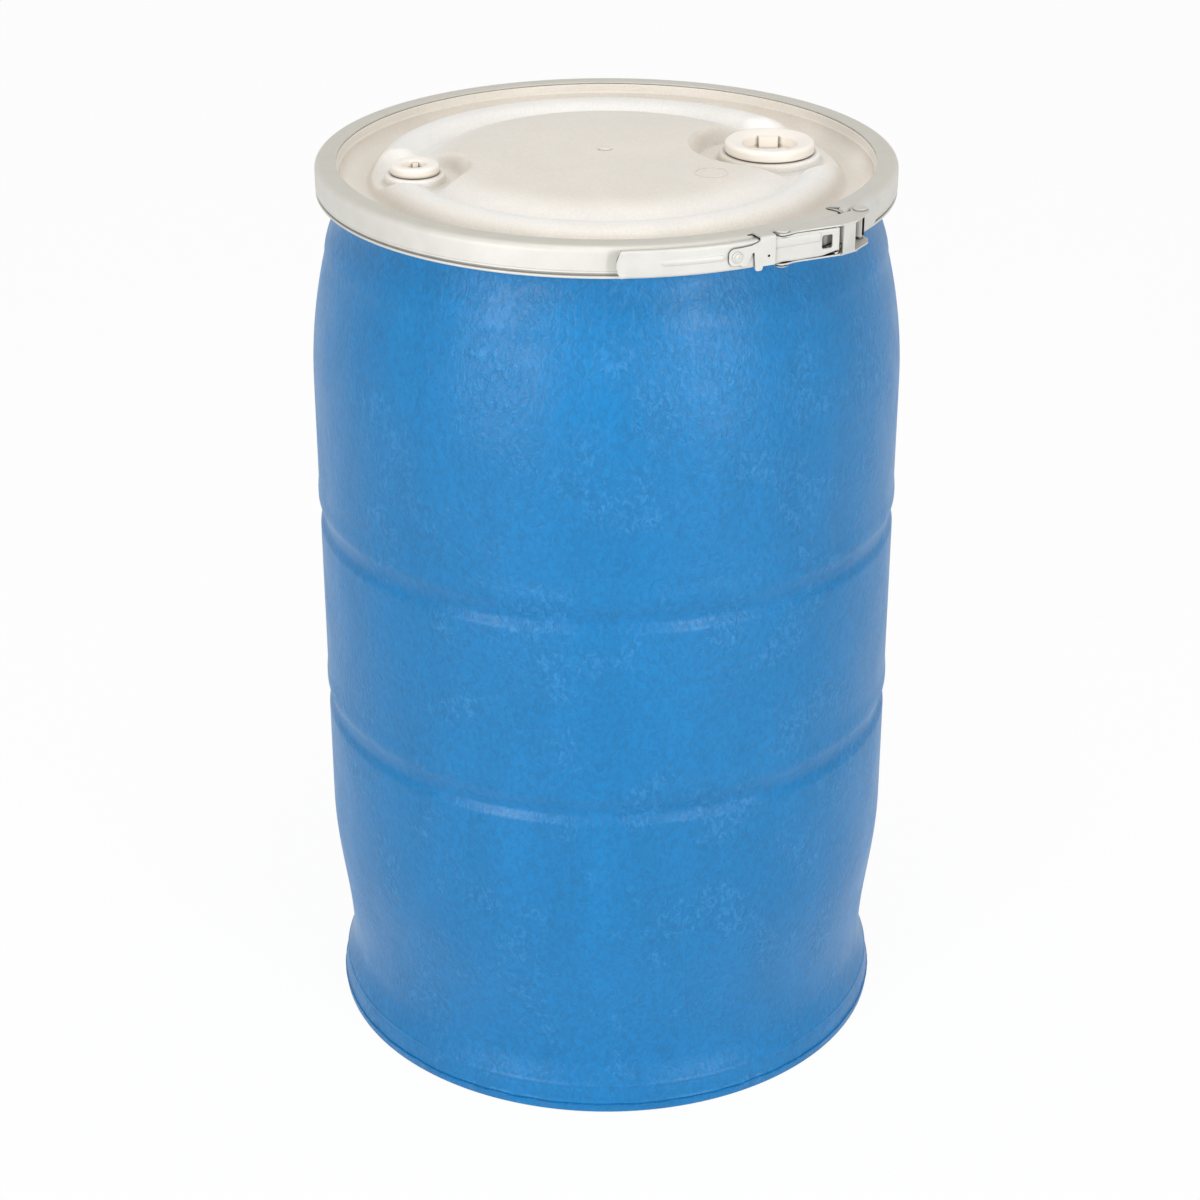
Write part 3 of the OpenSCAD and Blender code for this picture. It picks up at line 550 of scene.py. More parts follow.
def nitrile_rubber():
    """Nitrile rubber, moulded. Nearly black with a dull bloom."""
    material, tree = fresh("nitrile_rubber")
    place = add(tree, 'ShaderNodeTexCoord')["Object"]
    # Bloom about 6 mm across
    bloom = add(tree, 'ShaderNodeTexNoise', {"Vector": place, "Scale": 1 / 0.006, "Detail": 2})[0]
    tone = add(tree, 'ShaderNodeMix', {
        "Factor": bloom, 6: linear("#1B1B1B"), 7: linear("#2C2B2A")}, data_type='RGBA')[2]
    fine = add(tree, 'ShaderNodeBump', {"Height": bloom, "Strength": 0.2, "Distance": 0.05 * MM})[0]
    shader = add(tree, 'ShaderNodeBsdfPrincipled', {
        "Base Color": tone, "Roughness": 0.62, "IOR": 1.52, "Normal": fine})
    add(tree, 'ShaderNodeOutputMaterial', {"Surface": shader[0]})
    return material


def sight(tree):
    """1 for rays that show the surroundings, straight on, in a gloss or through glass, and else 0"""
    ray = add(tree, 'ShaderNodeLightPath')
    shown = add(tree, 'ShaderNodeMath', {
        0: ray["Is Camera Ray"], 1: ray["Is Glossy Ray"]}, operation='MAXIMUM')[0]
    return add(tree, 'ShaderNodeMath', {0: shown, 1: ray["Is Transmission Ray"]}, operation='MAXIMUM')[0]


def studio_paper(white):
    """Matt white paper floor. It looks white where light reaches it, also in reflections, and it
    keeps the soft shadow around the foot."""
    material, tree = fresh("studio_paper")
    # The rest of the white is the paper's own, with the shadow on it
    share = add(tree, 'ShaderNodeMath', {0: sight(tree), 1: 0.95}, operation='MULTIPLY')[0]
    paper = add(tree, 'ShaderNodeBsdfDiffuse', {"Color": white})[0]
    glow = add(tree, 'ShaderNodeEmission', {"Color": white, "Strength": 1.0})[0]
    mixed = add(tree, 'ShaderNodeMixShader', {0: share, 1: paper, 2: glow})
    add(tree, 'ShaderNodeOutputMaterial', {"Surface": mixed[0]})
    return material


FINISHES = {
    "body_blue": lambda scene: blown_polyethylene(tuple(scene.drum_body.blue)),
    "lid_natural": lambda scene: moulded_polyethylene(
        tuple(scene.drum_lid.natural), tuple(scene.drum_lid.middle)),
    "plug_white": lambda scene: plug_polyethylene(tuple(scene.drum_plugs.white)),
    "ring_steel": lambda scene: galvanised_steel("galvanised_ring", tuple(scene.drum_ring.grey), 1),
    "latch_steel": lambda scene: galvanised_steel("zinc_plated_latch", tuple(scene.drum_latch.zinc), 1.2),
    "gasket_black": lambda scene: nitrile_rubber(),
}
MADE = {}


def finish_of(slot):
    """The material of a slot, made once"""
    if slot not in MADE:
        MADE[slot] = FINISHES[slot](bpy.context.scene)
    return MADE[slot]


def dress(piece, body, slot, nodes, smooth):
    """Smooths a finished piece, gives it its slot's material and puts it on its body"""
    activate(piece)
    bpy.ops.object.transform_apply(location=True, rotation=True, scale=True)
    bpy.ops.object.shade_smooth_by_angle(angle=radians(smooth))
    piece.data.materials.clear()
    piece.data.materials.append(finish_of(slot))
    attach(piece, body)
    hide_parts(*nodes)


def cover(slot, nodes):
    """Gives CAD nodes that stay in sight their slot's material"""
    for node in nodes:
        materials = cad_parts[node].data.materials
        materials.clear()
        materials.append(finish_of(slot))


# ---- Body ----

class DRUM_OT_body(bpy.types.Operator):
    """Spins the blown body with its foot, waist, rolling hoops, neck and rim"""
    bl_idname = "drum.body"
    bl_label = "Body"

    def hoop(self, s, height):
        """The groove under a hoop and the hoop itself, upwards"""
        foot, floor = (s.belly, height - 29), (s.belly - s.groove, height - 18.5)
        crown, head = (s.belly + s.hoop, height), (s.belly, height + 16)
        return [foot] + eased(foot, floor, 7) + eased(floor, crown, 9) + eased(crown, head, 7)

    def execute(self, context):
        s = values(context.scene.drum_body)
        flange, waist = (s.foot - 1.2, 12), (s.belly - s.waist, 52)
        # The shoulder curves in by 13.3 mm over 105 mm, and the neck follows it
        dip, low, tall = 13.3, 575, 105
        shoulder = [(s.belly - dip * (k / 12) ** 2, low + tall * k / 12) for k in range(13)]
        neck, throat = 215.5, 726.1
        # The mould's insert leaves a thin ridge on the slope above the foot
        slope = [(r + 0.7 * (1 - ease(abs(z - 24.4) / 1.7)), z) for r, z in eased(flange, waist, 48)]
        wall = ([flange] + slope + eased(waist, (s.belly, 190), 22)
                + self.hoop(s, s.low_hoop) + self.hoop(s, s.high_hoop)
                + shoulder + eased((s.belly - dip, low + tall), (neck, throat), 10))
        # The parting line stands out between the rim of the foot and the slope above it
        flash = s.foot + s.flash
        foot = arc(s.foot - 2, 2, 2, -90, 0, 5) + [
            (s.foot, 6.2), (flash, 6.9), (flash, 7.5), (s.foot - 1, 8.1), (s.foot - 1, 8.7),
            (s.foot - 0.3, 9.2), (s.foot - 0.6, 10)]
        rim = ([(neck, 733.1)] + arc(224, 735.6, 2.5, -90, 0, 6) + arc(224, 741.5, 2.5, 0, 90, 6)
               + [(216.3, 744), (215.3, 743), (215.3, 735.1), (neck - s.wall, throat)])
        inside = [(r - s.wall, z) for r, z in wall[::-1] if 16 < z < 724] + arc(221, 16, 12, 0, -90, 6)
        base = [(206, 4), (188, 18), (0, 18), (0, 14), (186, 14), (202, 0)]
        piece = turned("drum_shell", foot + wall + rim + inside + base, s.steps)

        def uneven(turn, off, z):
            """Makes the hand-trimmed flash ragged and the cooled wall a little uneven"""
            u, v = cos(radians(turn)), sin(radians(turn))
            if off > s.foot - 1.1 and 6 < z < 9.5:
                rough = noise.noise(Vector((u, v, 3)) * 60)
                z += 0.9 * noise.noise(Vector((u, v, 0)) * 14) + 0.4 * rough
                off = min(off + 0.25 * rough, 240)
            elif off > 150 and 60 < z < 700:
                off += 0.3 * (noise.noise(Vector((3 * u, 3 * v, z / 160))) - 0.4)
                off = min(off, 240.5)
            return turn, off, z

        dress(reshape(piece, uneven), "drum", "body_blue", ["drum_body"], 40)
        return {'FINISHED'}


# ---- Lid ----

def plug_places(scene):
    """The large and the small plug's axis, with the radii of the boss, the bay in the plateau and
    the gap between the crescents' ends, whose centre lies back, and the thread's radius and length"""
    s = values(scene.drum_plugs)
    line = radians(s.line)
    large = (s.large_off * cos(line), s.large_off * sin(line))
    small = (-s.small_off * cos(line), -s.small_off * sin(line))
    return (SimpleNamespace(centre=large, boss=41, bay=61.4, gap=61, back=11, thread=28.5, reach=17),
            SimpleNamespace(centre=small, boss=24, bay=40.8, gap=36, back=8, thread=13.2, reach=13))


class DRUM_OT_lid(bpy.types.Operator):
    """Spins the lid, presses the bays into it and adds the plugs' bosses and sleeves"""
    bl_idname = "drum.lid"
    bl_label = "Lid"

    def raw(self, s, off):
        """Height of the skin around the lid, before its corners are rounded"""
        edge, dip, rise, crest, groove = 111, 150, 152, 170, 189
        if off < edge:
            return s.plateau
        if off < dip:
            return s.plateau - (s.plateau - s.valley) * ((off - edge) / (dip - edge)) ** 2.2
        if off < rise:
            return s.valley
        if off < crest:
            return s.crest - (s.crest - s.valley) * (1 - (off - rise) / (crest - rise)) ** 3
        if off < groove:
            return s.crest - (s.crest - s.pan) * ((off - crest) / (groove - crest)) ** 3
        return s.pan

    def level(self, s, off):
        """Height of the skin around the lid, with rounded corners"""
        near = [self.raw(s, off + 0.7 * k) for k in range(-5, 6)]
        return sum(near) / len(near)

    def pressed(self, s, x, y, places):
        """Height of the skin at a point, with the plugs' bays pressed in"""
        off = hypot(x, y)
        height = self.level(s, off)
        for place in places:
            x0, y0 = place.centre
            # The bay counts on the plateau and the gap on the crescents, and they meet in the valley
            bay = (hypot(x - x0, y - y0) - place.bay) / s.slope + 0.35 + max(0, off - 147) / 4
            gap = (hypot(x - x0, y - y0 - place.back) - place.gap + 2) / s.horn + max(0, 149 - off) / 4
            edge = min(max(min(gap, bay), 0), 1)
            share = (ease(edge) + edge) / 2
            height = min(height, s.bay) * (1 - share) + height * share
        return height

    def mark(self, piece, x, y, size, width, low, high):
        """Adds a low disc, or a low ring of a given width, that the mould leaves on the skin"""
        section = [(size - width, low), (size, low), (size, high - 0.15), (size - 0.3, high),
                   (size - width + (0.3 if width < size else 0), high)]
        combine(piece, turned("mark", section, 64, centre=(x, y)))

    def execute(self, context):
        s = values(context.scene.drum_lid)
        places = plug_places(context.scene)
        # Radii of the rings of points, close together where the skin curves
        fine = [0, 12, 26, 40, 52, 60] + [66 + 1.65 * k for k in range(77)]
        coarse = [0, 20, 40, 58] + [66 + 3.5 * k for k in range(36)]
        top = [(r, self.level(s, r)) for r in fine]
        under = [(r, self.level(s, r) - s.skin) for r in coarse]
        # From the groove's outer bend up the recessed wall, over the flange and back under it
        recess, bend = 211.5, 11.2
        rim = (arc(recess - bend, s.pan + bend, bend, -90, 0, 9)
               + [(recess, 747.0), (212.2, 747.9), (213.0, 749.0), (213.0, 753.4)]
               + arc(214.1, 753.4, 1.1, 180, 90, 3) + arc(224, 752, 2.5, 90, 0, 6)
               + [(226.5, 748), (225.5, 747), (214.9, 747), (214.8, 745.6)]
               + arc(recess - bend, s.pan + bend, bend + s.skin, -8, -90, 8))
        piece = turned("lid_shell", top + rim + under[::-1], s.steps)
        for vertex in piece.data.vertices:
            x, y, _ = vertex.co / MM
            if hypot(x, y) < recess - bend + 0.2:
                vertex.co.z += (self.pressed(s, x, y, places) - self.level(s, hypot(x, y))) * MM
        for place in places:
            boss, bore, low = place.boss, place.thread + 0.35, s.boss + 1.7 - place.reach
            section = ([(0, s.bay - 1.8), (0, s.boss)] + arc(boss - 2.6, s.boss - 2.6, 2.6, 90, 0, 5)
                       + [(boss, s.bay + 1.6), (boss + 0.6, s.bay + 0.5), (boss + 1.6, s.bay - 0.4),
                          (boss, s.bay - 1.8)])
            combine(piece, turned("boss", section, 96, centre=place.centre))
            combine(piece, bar("sleeve", place.centre, bore + 4, low, s.boss - 1, 72))
            cut(piece, bar("bore", place.centre, bore, low - 3, s.boss + 3, 72))
        # The gate in the middle, and the ring that a date insert leaves
        self.mark(piece, -1.2, 10.3, 5.6, 5.6, s.plateau - 1, s.plateau + 0.8)
        self.mark(piece, 81.4, -54.3, 13, 0.9, s.plateau - 1, s.plateau + 0.35)
        dress(piece, "lid", "lid_natural", ["lid"], 42)
        cover("gasket_black", ["lid_gasket", "large_plug_gasket", "small_plug_gasket"])
        return {'FINISHED'}


# ---- Plugs ----

class DRUM_OT_plugs(bpy.types.Operator):
    """Spins both screw plugs, cuts their threads and adds the drive lugs"""
    bl_idname = "drum.plugs"
    bl_label = "Plugs"

    def thread(self, piece, place, pitch, depth, top):
        """Draws a plug's thread by moving its shank's points along a helix"""
        x0, y0 = place.centre
        for vertex in piece.data.vertices:
            x, y, z = vertex.co / MM
            if abs(hypot(x - x0, y - y0) - place.thread) < 0.02 and z < top:
                turn = atan2(y - y0, x - x0)
                off = place.thread - depth * ease(2 * abs((z / pitch - turn / (2 * pi)) % 1 - 0.5))
                vertex.co = Vector((x0 + off * cos(turn), y0 + off * sin(turn), z)) * MM

    def lugs(self, piece, centre, corners, low, high):
        """Adds the two drive lugs that face each other across a plug's socket"""
        for side in (90, 270):
            place = shift(*centre, 0) @ swing(side)
            combine(piece, placed(slab("lug", rounded(corners), low, high), place))

    def execute(self, context):
        s = values(context.scene.drum_plugs)
        large, small = plug_places(context.scene)
        z = s.seat
        # From the socket's floor over the flange to the skirt, down the shank and back inside
        shank = [(large.thread, z - 0.4 - 0.6 * k) for k in range(25)]
        section = ([(0, z - 7.2), (0, z - 4.2)] + arc(20.4, z - 2.9, 1.3, -90, 0, 4)
                   + [(21.9, z + 3.2)] + arc(24.0, z + 3.6, 2.0, 180, 108, 4)
                   + arc(32.4, z + 4.2, 3.6, 100, 0, 8)
                   + [(36, z - 0.6), (35.4, z - 1.3), (33.4, z - 1.3), (33.2, z), (large.thread, z)]
                   + shank + [(large.thread - 1, z - 16), (25.3, z - 16), (25.3, z - 7.2)])
        piece = turned("large_plug_cap", section, 120, centre=large.centre)
        self.thread(piece, large, s.large_pitch, 1.3, z - 0.5)
        self.lugs(piece, large.centre, [(16.2, -7.6, 1.6), (22.6, -8.4, 0), (22.6, 8.4, 0), (16.2, 7.6, 1.6)],
                  z - 4.4, z + 5.2)
        soften(piece, 0.5, 60)
        dress(piece, "large_plug", "plug_white", ["large_plug"], 40)

        shank = [(small.thread, z - 0.3 - 0.3 * k) for k in range(39)]
        section = ([(0, z - 3.8), (0, z - 0.8)] + arc(8.6, z, 0.8, -90, 0, 3)
                   + [(9.6, z + 4.0)] + arc(11.0, z + 4.4, 1.2, 170, 100, 3)
                   + arc(16.6, z + 3.4, 2.8, 96, 0, 7)
                   + [(19.4, z - 0.7), (18.9, z - 1.3), (18.1, z - 1.3), (18, z), (small.thread, z)]
                   + shank + [(small.thread - 0.8, z - 12), (10, z - 12), (10, z - 3.8)])
        piece = turned("small_plug_cap", section, 96, centre=small.centre)
        self.thread(piece, small, s.small_pitch, 0.7, z - 0.4)
        self.lugs(piece, small.centre, [(7.3, -2.3, 0.7), (10.2, -2.6, 0), (10.2, 2.6, 0), (7.3, 2.3, 0.7)],
                  z - 1, z + 3.6)
        dress(piece, "small_plug", "plug_white", ["small_plug"], 40)
        return {'FINISHED'}


# ---- Closing ring ----

def ring_skin(s, out, inner, low):
    """The ring's outside with its rounded shoulder, moved outwards, down to a level"""
    return [(inner, s.top + out)] + arc(s.face - 5, s.top - 5, 5 + out, 90, 0, 8) + [(s.face + out, low)]


class DRUM_OT_ring(bpy.types.Operator):
    """Spins the closing ring with its shoulder and lower bead, and slots it for the latch"""
    bl_idname = "drum.ring"
    bl_label = "Closing ring"

    def execute(self, context):
        s = values(context.scene.drum_ring)
        bead, edge, lip, inner = s.low + 1.2, s.face - 17.1, s.low + 6.4, s.low + s.sheet
        # The face ends in a small lip, and a groove parts it from the bead under it
        outside = (ring_skin(s, 0, edge, lip)
                   + [(s.face - 0.45, lip - 0.6), (s.face - 0.1, lip - 1.3), (s.face - 0.1, lip - 1.9),
                      (s.face - 1.5, lip - 2.5), (s.face - 1.7, lip - 3.3)]
                   + arc(s.face - 1.35, bead, 1.2, 80, -90, 7))
        leg = [(s.face - 12.5, s.low), (s.face - 12.5, inner)]
        inside = ([(s.face - 2.7, inner), (s.face - 2.7, lip - 2), (s.face - 1.2, lip - 0.6)]
                  + ring_skin(s, -s.sheet, edge, lip)[::-1])
        piece = turned("ring_band_rolled", outside + leg + inside, 300,
                       s.gap + s.gap_width / 2, 360 - s.gap_width)
        # The safety latch's tab drops into a slot in the shoulder
        start, sweep = 26.73, 4.18
        cut(piece, turned("slot", [(226.5, 750), (226.5, 757), (228.3, 757), (228.3, 750)], 8, start, sweep))
        soften(piece, 0.3)
        dress(piece, "ring", "ring_steel", ["ring_band"], 35)
        return {'FINISHED'}


class DRUM_OT_catch(bpy.types.Operator):
    """Spins the catch's saddle over the ring's right end and rolls its open hook"""
    bl_idname = "drum.catch"
    bl_label = "Catch"

    def execute(self, context):
        s, latch = values(context.scene.drum_ring), values(context.scene.drum_latch)
        start, end, inner, low = s.gap + s.gap_width / 2, 63.2, s.face - 15.5, s.low + 2.5
        section = ring_skin(s, 1.5, inner, low) + ring_skin(s, 0.1, inner, low)[::-1]
        piece = turned("catch_saddle", section, 36, start, end - start)
        slant = polar(start) @ shift(s.face - 17.1, 0, s.top - 2) @ swing(14)
        cut(piece, block("slant", (-20, -20, 0), (12, 0, 6), slant))
        corner = polar(end) @ shift(s.face - 2, 0, low) @ swing(45, 'X')
        cut(piece, block("corner", (0, -7, -7), (8, 7, 7), corner))
        pin, arm = at(latch.catch, latch.catch_off), at(latch.link, latch.link_off)
        fulcrum = at(latch.fulcrum, latch.fulcrum_off)
        middle = latch.low + latch.height / 2
        foot, head = middle - 8.5, middle + 8.5
        hook = bar("hook", pin, 3.6, foot, head)
        combine(hook, block("root", (s.face + 1.2, -1, foot), (latch.catch_off - 1.15, 2.6, head),
                            polar(latch.catch)))
        cut(hook, bar("bore", pin, latch.pin + 0.15, foot - 1.5, head + 1.5))
        # The pin leaves the hook square to the line from the fulcrum to the link pin
        away = degrees(atan2(arm[1] - fulcrum[1], arm[0] - fulcrum[0])) + 90
        cut(hook, block("mouth", (0, -2.15, foot - 1.5), (10, 2.45, head + 1.5),
                        shift(*pin, 0) @ swing(away)))
        combine(piece, hook)
        soften(piece, 0.25)
        dress(piece, "ring", "latch_steel", ["catch_bracket"], 35)
        cover("latch_steel", ["fulcrum_bracket", "fulcrum_pin"])
        return {'FINISHED'}


# ---- Lever latch ----

class DRUM_OT_lever(bpy.types.Operator):
    """Spins the lever's channel, deepens it at its pins and presses its rib, panel and end"""
    bl_idname = "drum.lever"
    bl_label = "Lever"

    def filled(self, section):
        """The section with its long straight runs divided"""
        points = []
        for i, here in enumerate(section):
            on = section[(i + 1) % len(section)]
            run = hypot(on[0] - here[0], on[1] - here[1])
            count = max(1, round(run / 1.6))
            points += [(here[0] + (on[0] - here[0]) * k / count, here[1] + (on[1] - here[1]) * k / count)
                       for k in range(count)]
        return points

    def bead(self, s, start, end, middle):
        """The pressed rib along the lever's face, with tapering ends"""
        root, half, proud = s.face - 0.4, 2.5, 0.95
        crown = [(s.face - 0.05 + proud * cos(pi * t / 2) ** 0.7, middle + half * t)
                 for t in (-0.98, -0.85, -0.6, -0.3, 0, 0.3, 0.6, 0.85, 0.98)]
        section = [(root, middle - half)] + crown + [(root, middle + half)]
        piece = turned("rib", section, 40, start, end - start)

        def taper(turn, off, z):
            share = ease(0.12 + min(turn - start, end - turn) / 1.3)
            return turn, root + (off - root) * share, middle + (z - middle) * (0.3 + 0.7 * share)

        return reshape(piece, taper)

    def execute(self, context):
        s = values(context.scene.drum_latch)
        top, low, out, t = s.low + s.height, s.low, s.face, s.sheet
        hem, deep, middle = out - s.flange, 7.2, s.low + s.height / 2
        section = rounded([
            (hem, top, 0), (out, top, 2.2), (out, low, 2.2), (hem, low, 0),
            (hem, low + t, 0), (out - t, low + t, 0.9), (out - t, top - t, 0.9), (hem, top - t, 0)])
        piece = turned("lever_handle", self.filled(section), 132, s.end, s.face_end - s.end)

        def pressed(turn, off, z):
            """Deepens the flanges at the pins and shapes the channel's two ends"""
            if off < hem + 0.05:
                off -= (deep - s.flange) * ease((turn - 28.5) / 4.5)
            # The free end bulges in the middle and flares outwards
            near = 1 - ease((turn - s.end) / 1.2)
            across = (z - low) / s.height * 2 - 1
            turn -= 0.85 * near * (1 - across ** 2)
            if off > out - 2.5:
                off += 1.3 * near
            # The lower edge rises a little before the fulcrum
            if off > out - 2:
                z += 2.6 * ease((turn - 39.5) / 4) * max(0, -across)
            return turn, off, z

        straighten(reshape(piece, pressed), s.straight, out,
                   lambda off: min(max((off - hem) / (s.flange - t - 1), 0), 1))
        # Flat ears carry the channel's flanges on to the fulcrum pin
        proud, before = out / cos(radians(s.face_end - s.straight)), s.face_end - 0.6
        for level in (low, top - t):
            combine(piece, slab("ear", [
                at(before, out - deep + 0.1), at(before, proud - 1.3), at(s.face_end - 0.05, proud - 0.9),
                at(s.fulcrum + 0.35, s.fulcrum_off + 3), at(s.fulcrum, s.fulcrum_off - 3.05)],
                level, level + t))
            combine(piece, bar("eye", at(s.fulcrum, s.fulcrum_off), s.pin + 1.1, level, level + t))
        combine(piece, self.bead(s, 9.1, s.rivet - 1.6, middle + 0.3))
        panel = turned("panel", rounded([
            (out - 0.4, middle + 1.6, 0), (out + 0.55, middle + 1.9, 0.6),
            (out + 0.55, top - 1.9, 0.6), (out - 0.4, top - 1.6, 0)], 3), 24, 30.6, 9)
        combine(piece, straighten(panel, s.straight, out, lambda off: 1))
        wide, tall, window = 4.5, 5.2, 41
        hole = slab("hole", rounded([
            (-wide, -tall, 1.6), (wide, -tall, 1.6), (wide, tall, 1.6), (-wide, tall, 1.6)]), -6, 6)
        spot = at(window, out / cos(radians(window - s.straight)))
        placed(hole, shift(*spot, middle + 0.5) @ polar(s.straight) @ swing(90) @ swing(90, 'X'))
        cut(piece, hole)
        # The lever turns freely on the link pin, and the fulcrum pin is pressed into it
        for place, size in ((at(s.link, s.link_off), s.pin + 0.1), (at(s.fulcrum, s.fulcrum_off), s.pin)):
            cut(piece, bar("pin_hole", place, size, low - 2, top + 2))
        soften(piece, 0.25)
        dress(piece, "lever", "latch_steel", ["lever"], 35)
        return {'FINISHED'}


class DRUM_OT_link(bpy.types.Operator):
    """Cuts the link's two arms, joins them with its front web and sets the domed pins"""
    bl_idname = "drum.link"
    bl_label = "Link and pins"

    def pin(self, name, centre, size, low, high):
        """A hinge pin with a wide flat head on top and a necked head under it"""
        section = [(0, high + 1.1), (3.4, high + 1.1), (4.0, high + 1.45), (4.9, high + 1.4),
                   (5.5, high + 0.9), (5.6, high), (size, high), (size, low), (3.7, low),
                   (3.7, low - 1.45), (4.8, low - 1.6), (4.9, low - 2.1), (4.2, low - 2.7),
                   (2.4, low - 3), (0, low - 3)]
        return turned(name, section, 48, centre=centre)

    def execute(self, context):
        s, ring = values(context.scene.drum_latch), values(context.scene.drum_ring)
        link, catch = Vector(at(s.link, s.link_off)), Vector(at(s.catch, s.catch_off))
        run = (catch - link).length
        heading = atan2(catch.y - link.y, catch.x - link.x)
        # In the link's own frame x runs from pin to pin, and -y points away from the drum
        inner = link.x * sin(heading) - link.y * cos(heading) - ring.face
        proud, sheet = 17.6, 1.2
        low, high = s.low - 1.5, s.low + s.height + 0.3
        head = high + sheet
        place = shift(link.x, link.y, 0) @ swing(degrees(heading))
        # The arms widen from the pin's tongue to the web, and narrow again to the catch
        arm = rounded([
            (-6.2, -6.2, 5), (8.5, -6.7, 14), (46, -proud, 2), (59, -proud, 3), (run - 1, -10.5, 4),
            (run + 5.8, -3.5, 4), (run + 5.8, 5.8, 5.6), (run - 5, 5.8, 4), (run - 8, inner, 3),
            (7, inner, 2), (3.6, 3.6, 2), (-6.4, 3.6, 4.5)], 8)
        piece = slab("link_yoke", arm, low, low + sheet)
        combine(piece, slab("arm", arm, high, head))
        # The web joins the arms and spreads where it meets them
        left, right, spread, bend = 46.5, 58.5, 2.5, 2.2
        web = rounded([
            (left - spread, head, 0), (left - spread, head - 1.1, 0), (left, head - 1.1, bend),
            (left, low + 1.1, bend), (left - spread, low + 1.1, 0), (left - spread, low, 0),
            (right + spread, low, 0), (right + spread, low + 1.1, 0), (right, low + 1.1, bend),
            (right, head - 1.1, bend), (right + spread, head - 1.1, 0), (right + spread, head, 0)])
        combine(piece, placed(slab("web", web, proud - sheet, proud), swing(90, 'X')))
        for x in (0, run):
            cut(piece, bar("pin_hole", (x, 0), s.pin, low - 3, high + 4))
        soften(placed(piece, place), 0.3)
        dress(piece, "link", "latch_steel", ["link"], 35)
        for node, centre in (("link_pin", link), ("catch_pin", catch)):
            dress(self.pin(node + "_domed", centre, s.pin, low, head), "link", "latch_steel", [node], 40)
        return {'FINISHED'}


class DRUM_OT_safety_latch(bpy.types.Operator):
    """Cuts the safety latch, wraps it around the lever, folds its tab and sets its rivet"""
    bl_idname = "drum.safety_latch"
    bl_label = "Safety latch"

    def execute(self, context):
        s = values(context.scene.drum_latch)
        inner, outer = s.face + 0.3, s.face + 1.5
        middle = s.low + s.height / 2
        left, right, low, shelf = 19, 31.5, 0.6 - s.height / 2, 757.5 - middle
        # Around its eye, over the hook to the strap, and back along the strap's foot
        outline = rounded([
            (-6.5, 6.5, 6.3), (3, 6.5, 3), (12, 7.2, 8), (16.4, 8.4, 3), (left, 9.6, 2.4),
            (left, shelf, 0), (right, shelf, 0), (right, low, 0.8), (21.2, low, 0.6),
            (20.6, low - 3.1, 2), (15.4, low - 3.1, 2), (14.8, low, 0.5), (14.3, -3, 1),
            (13.9, 1.6, 0.9), (12.6, 1.6, 0.9), (8.3, low + 2.2, 1.2), (4, low + 2.2, 2),
            (3, -6.5, 2), (-6.5, -6.5, 6.3)], 6)
        piece = slab("latch_plate_pressed", [(x, y + middle) for x, y in outline], inner, outer)
        # A small hole for a wire seal, and the eye that turns on the rivet
        for x, y, size, sides in ((26, -2.5, 1, 20), (0, 0, s.pin + 0.1, 32)):
            cut(piece, bar("hole", (x, middle + y), size, inner - 2, outer + 2, sides))
        wrapped(piece, s.rivet, outer, (-6.5, right))
        # The tab folds over the ring's shoulder and drops into its slot
        start, sweep = s.rivet + degrees(left / outer), degrees((right - left) / outer)
        edge = shelf + middle - 1.9
        cut(piece, turned("fold", [(inner - 0.5, edge), (outer + 0.5, edge), (outer + 0.5, edge + 2.9),
                                   (inner - 0.5, edge + 2.9)], 12, start - 1.2, sweep + 2.4))
        tab = rounded([
            (outer, 752, 0), (outer, 757.5, 1.9), (226.8, 757.5, 1.6), (226.8, 752.8, 0),
            (228, 752.8, 0), (228, 756.3, 0.5), (inner, 756.3, 0.7), (inner, 752, 0)])
        combine(piece, turned("tab", tab, 12, start, sweep))
        straighten(piece, s.straight, s.face, lambda off: min(max((off - 233) / 4, 0), 1))
        soften(piece, 0.2)
        dress(piece, "safety_latch", "latch_steel", ["latch_plate"], 35)
        # A flat head with a shallow ring around its middle
        face = outer - s.face
        head = [(0, face + 1.0), (1.8, face + 1.0), (2.2, face + 0.7), (2.6, face + 0.7),
                (3.1, face + 1.05), (3.8, face + 0.8), (4.2, face + 0.2), (s.pin, face + 0.2),
                (s.pin, -1.3), (4.2, -1.3), (4.2, -2.1), (0, -2.1)]
        rivet = turned("latch_rivet_domed", head, 40)
        placed(rivet, polar(s.rivet) @ shift(s.face, 0, middle) @ swing(90, 'Y'))
        dress(rivet, "lever", "latch_steel", ["latch_rivet"], 40)
        return {'FINISHED'}


# ---- Stage ----

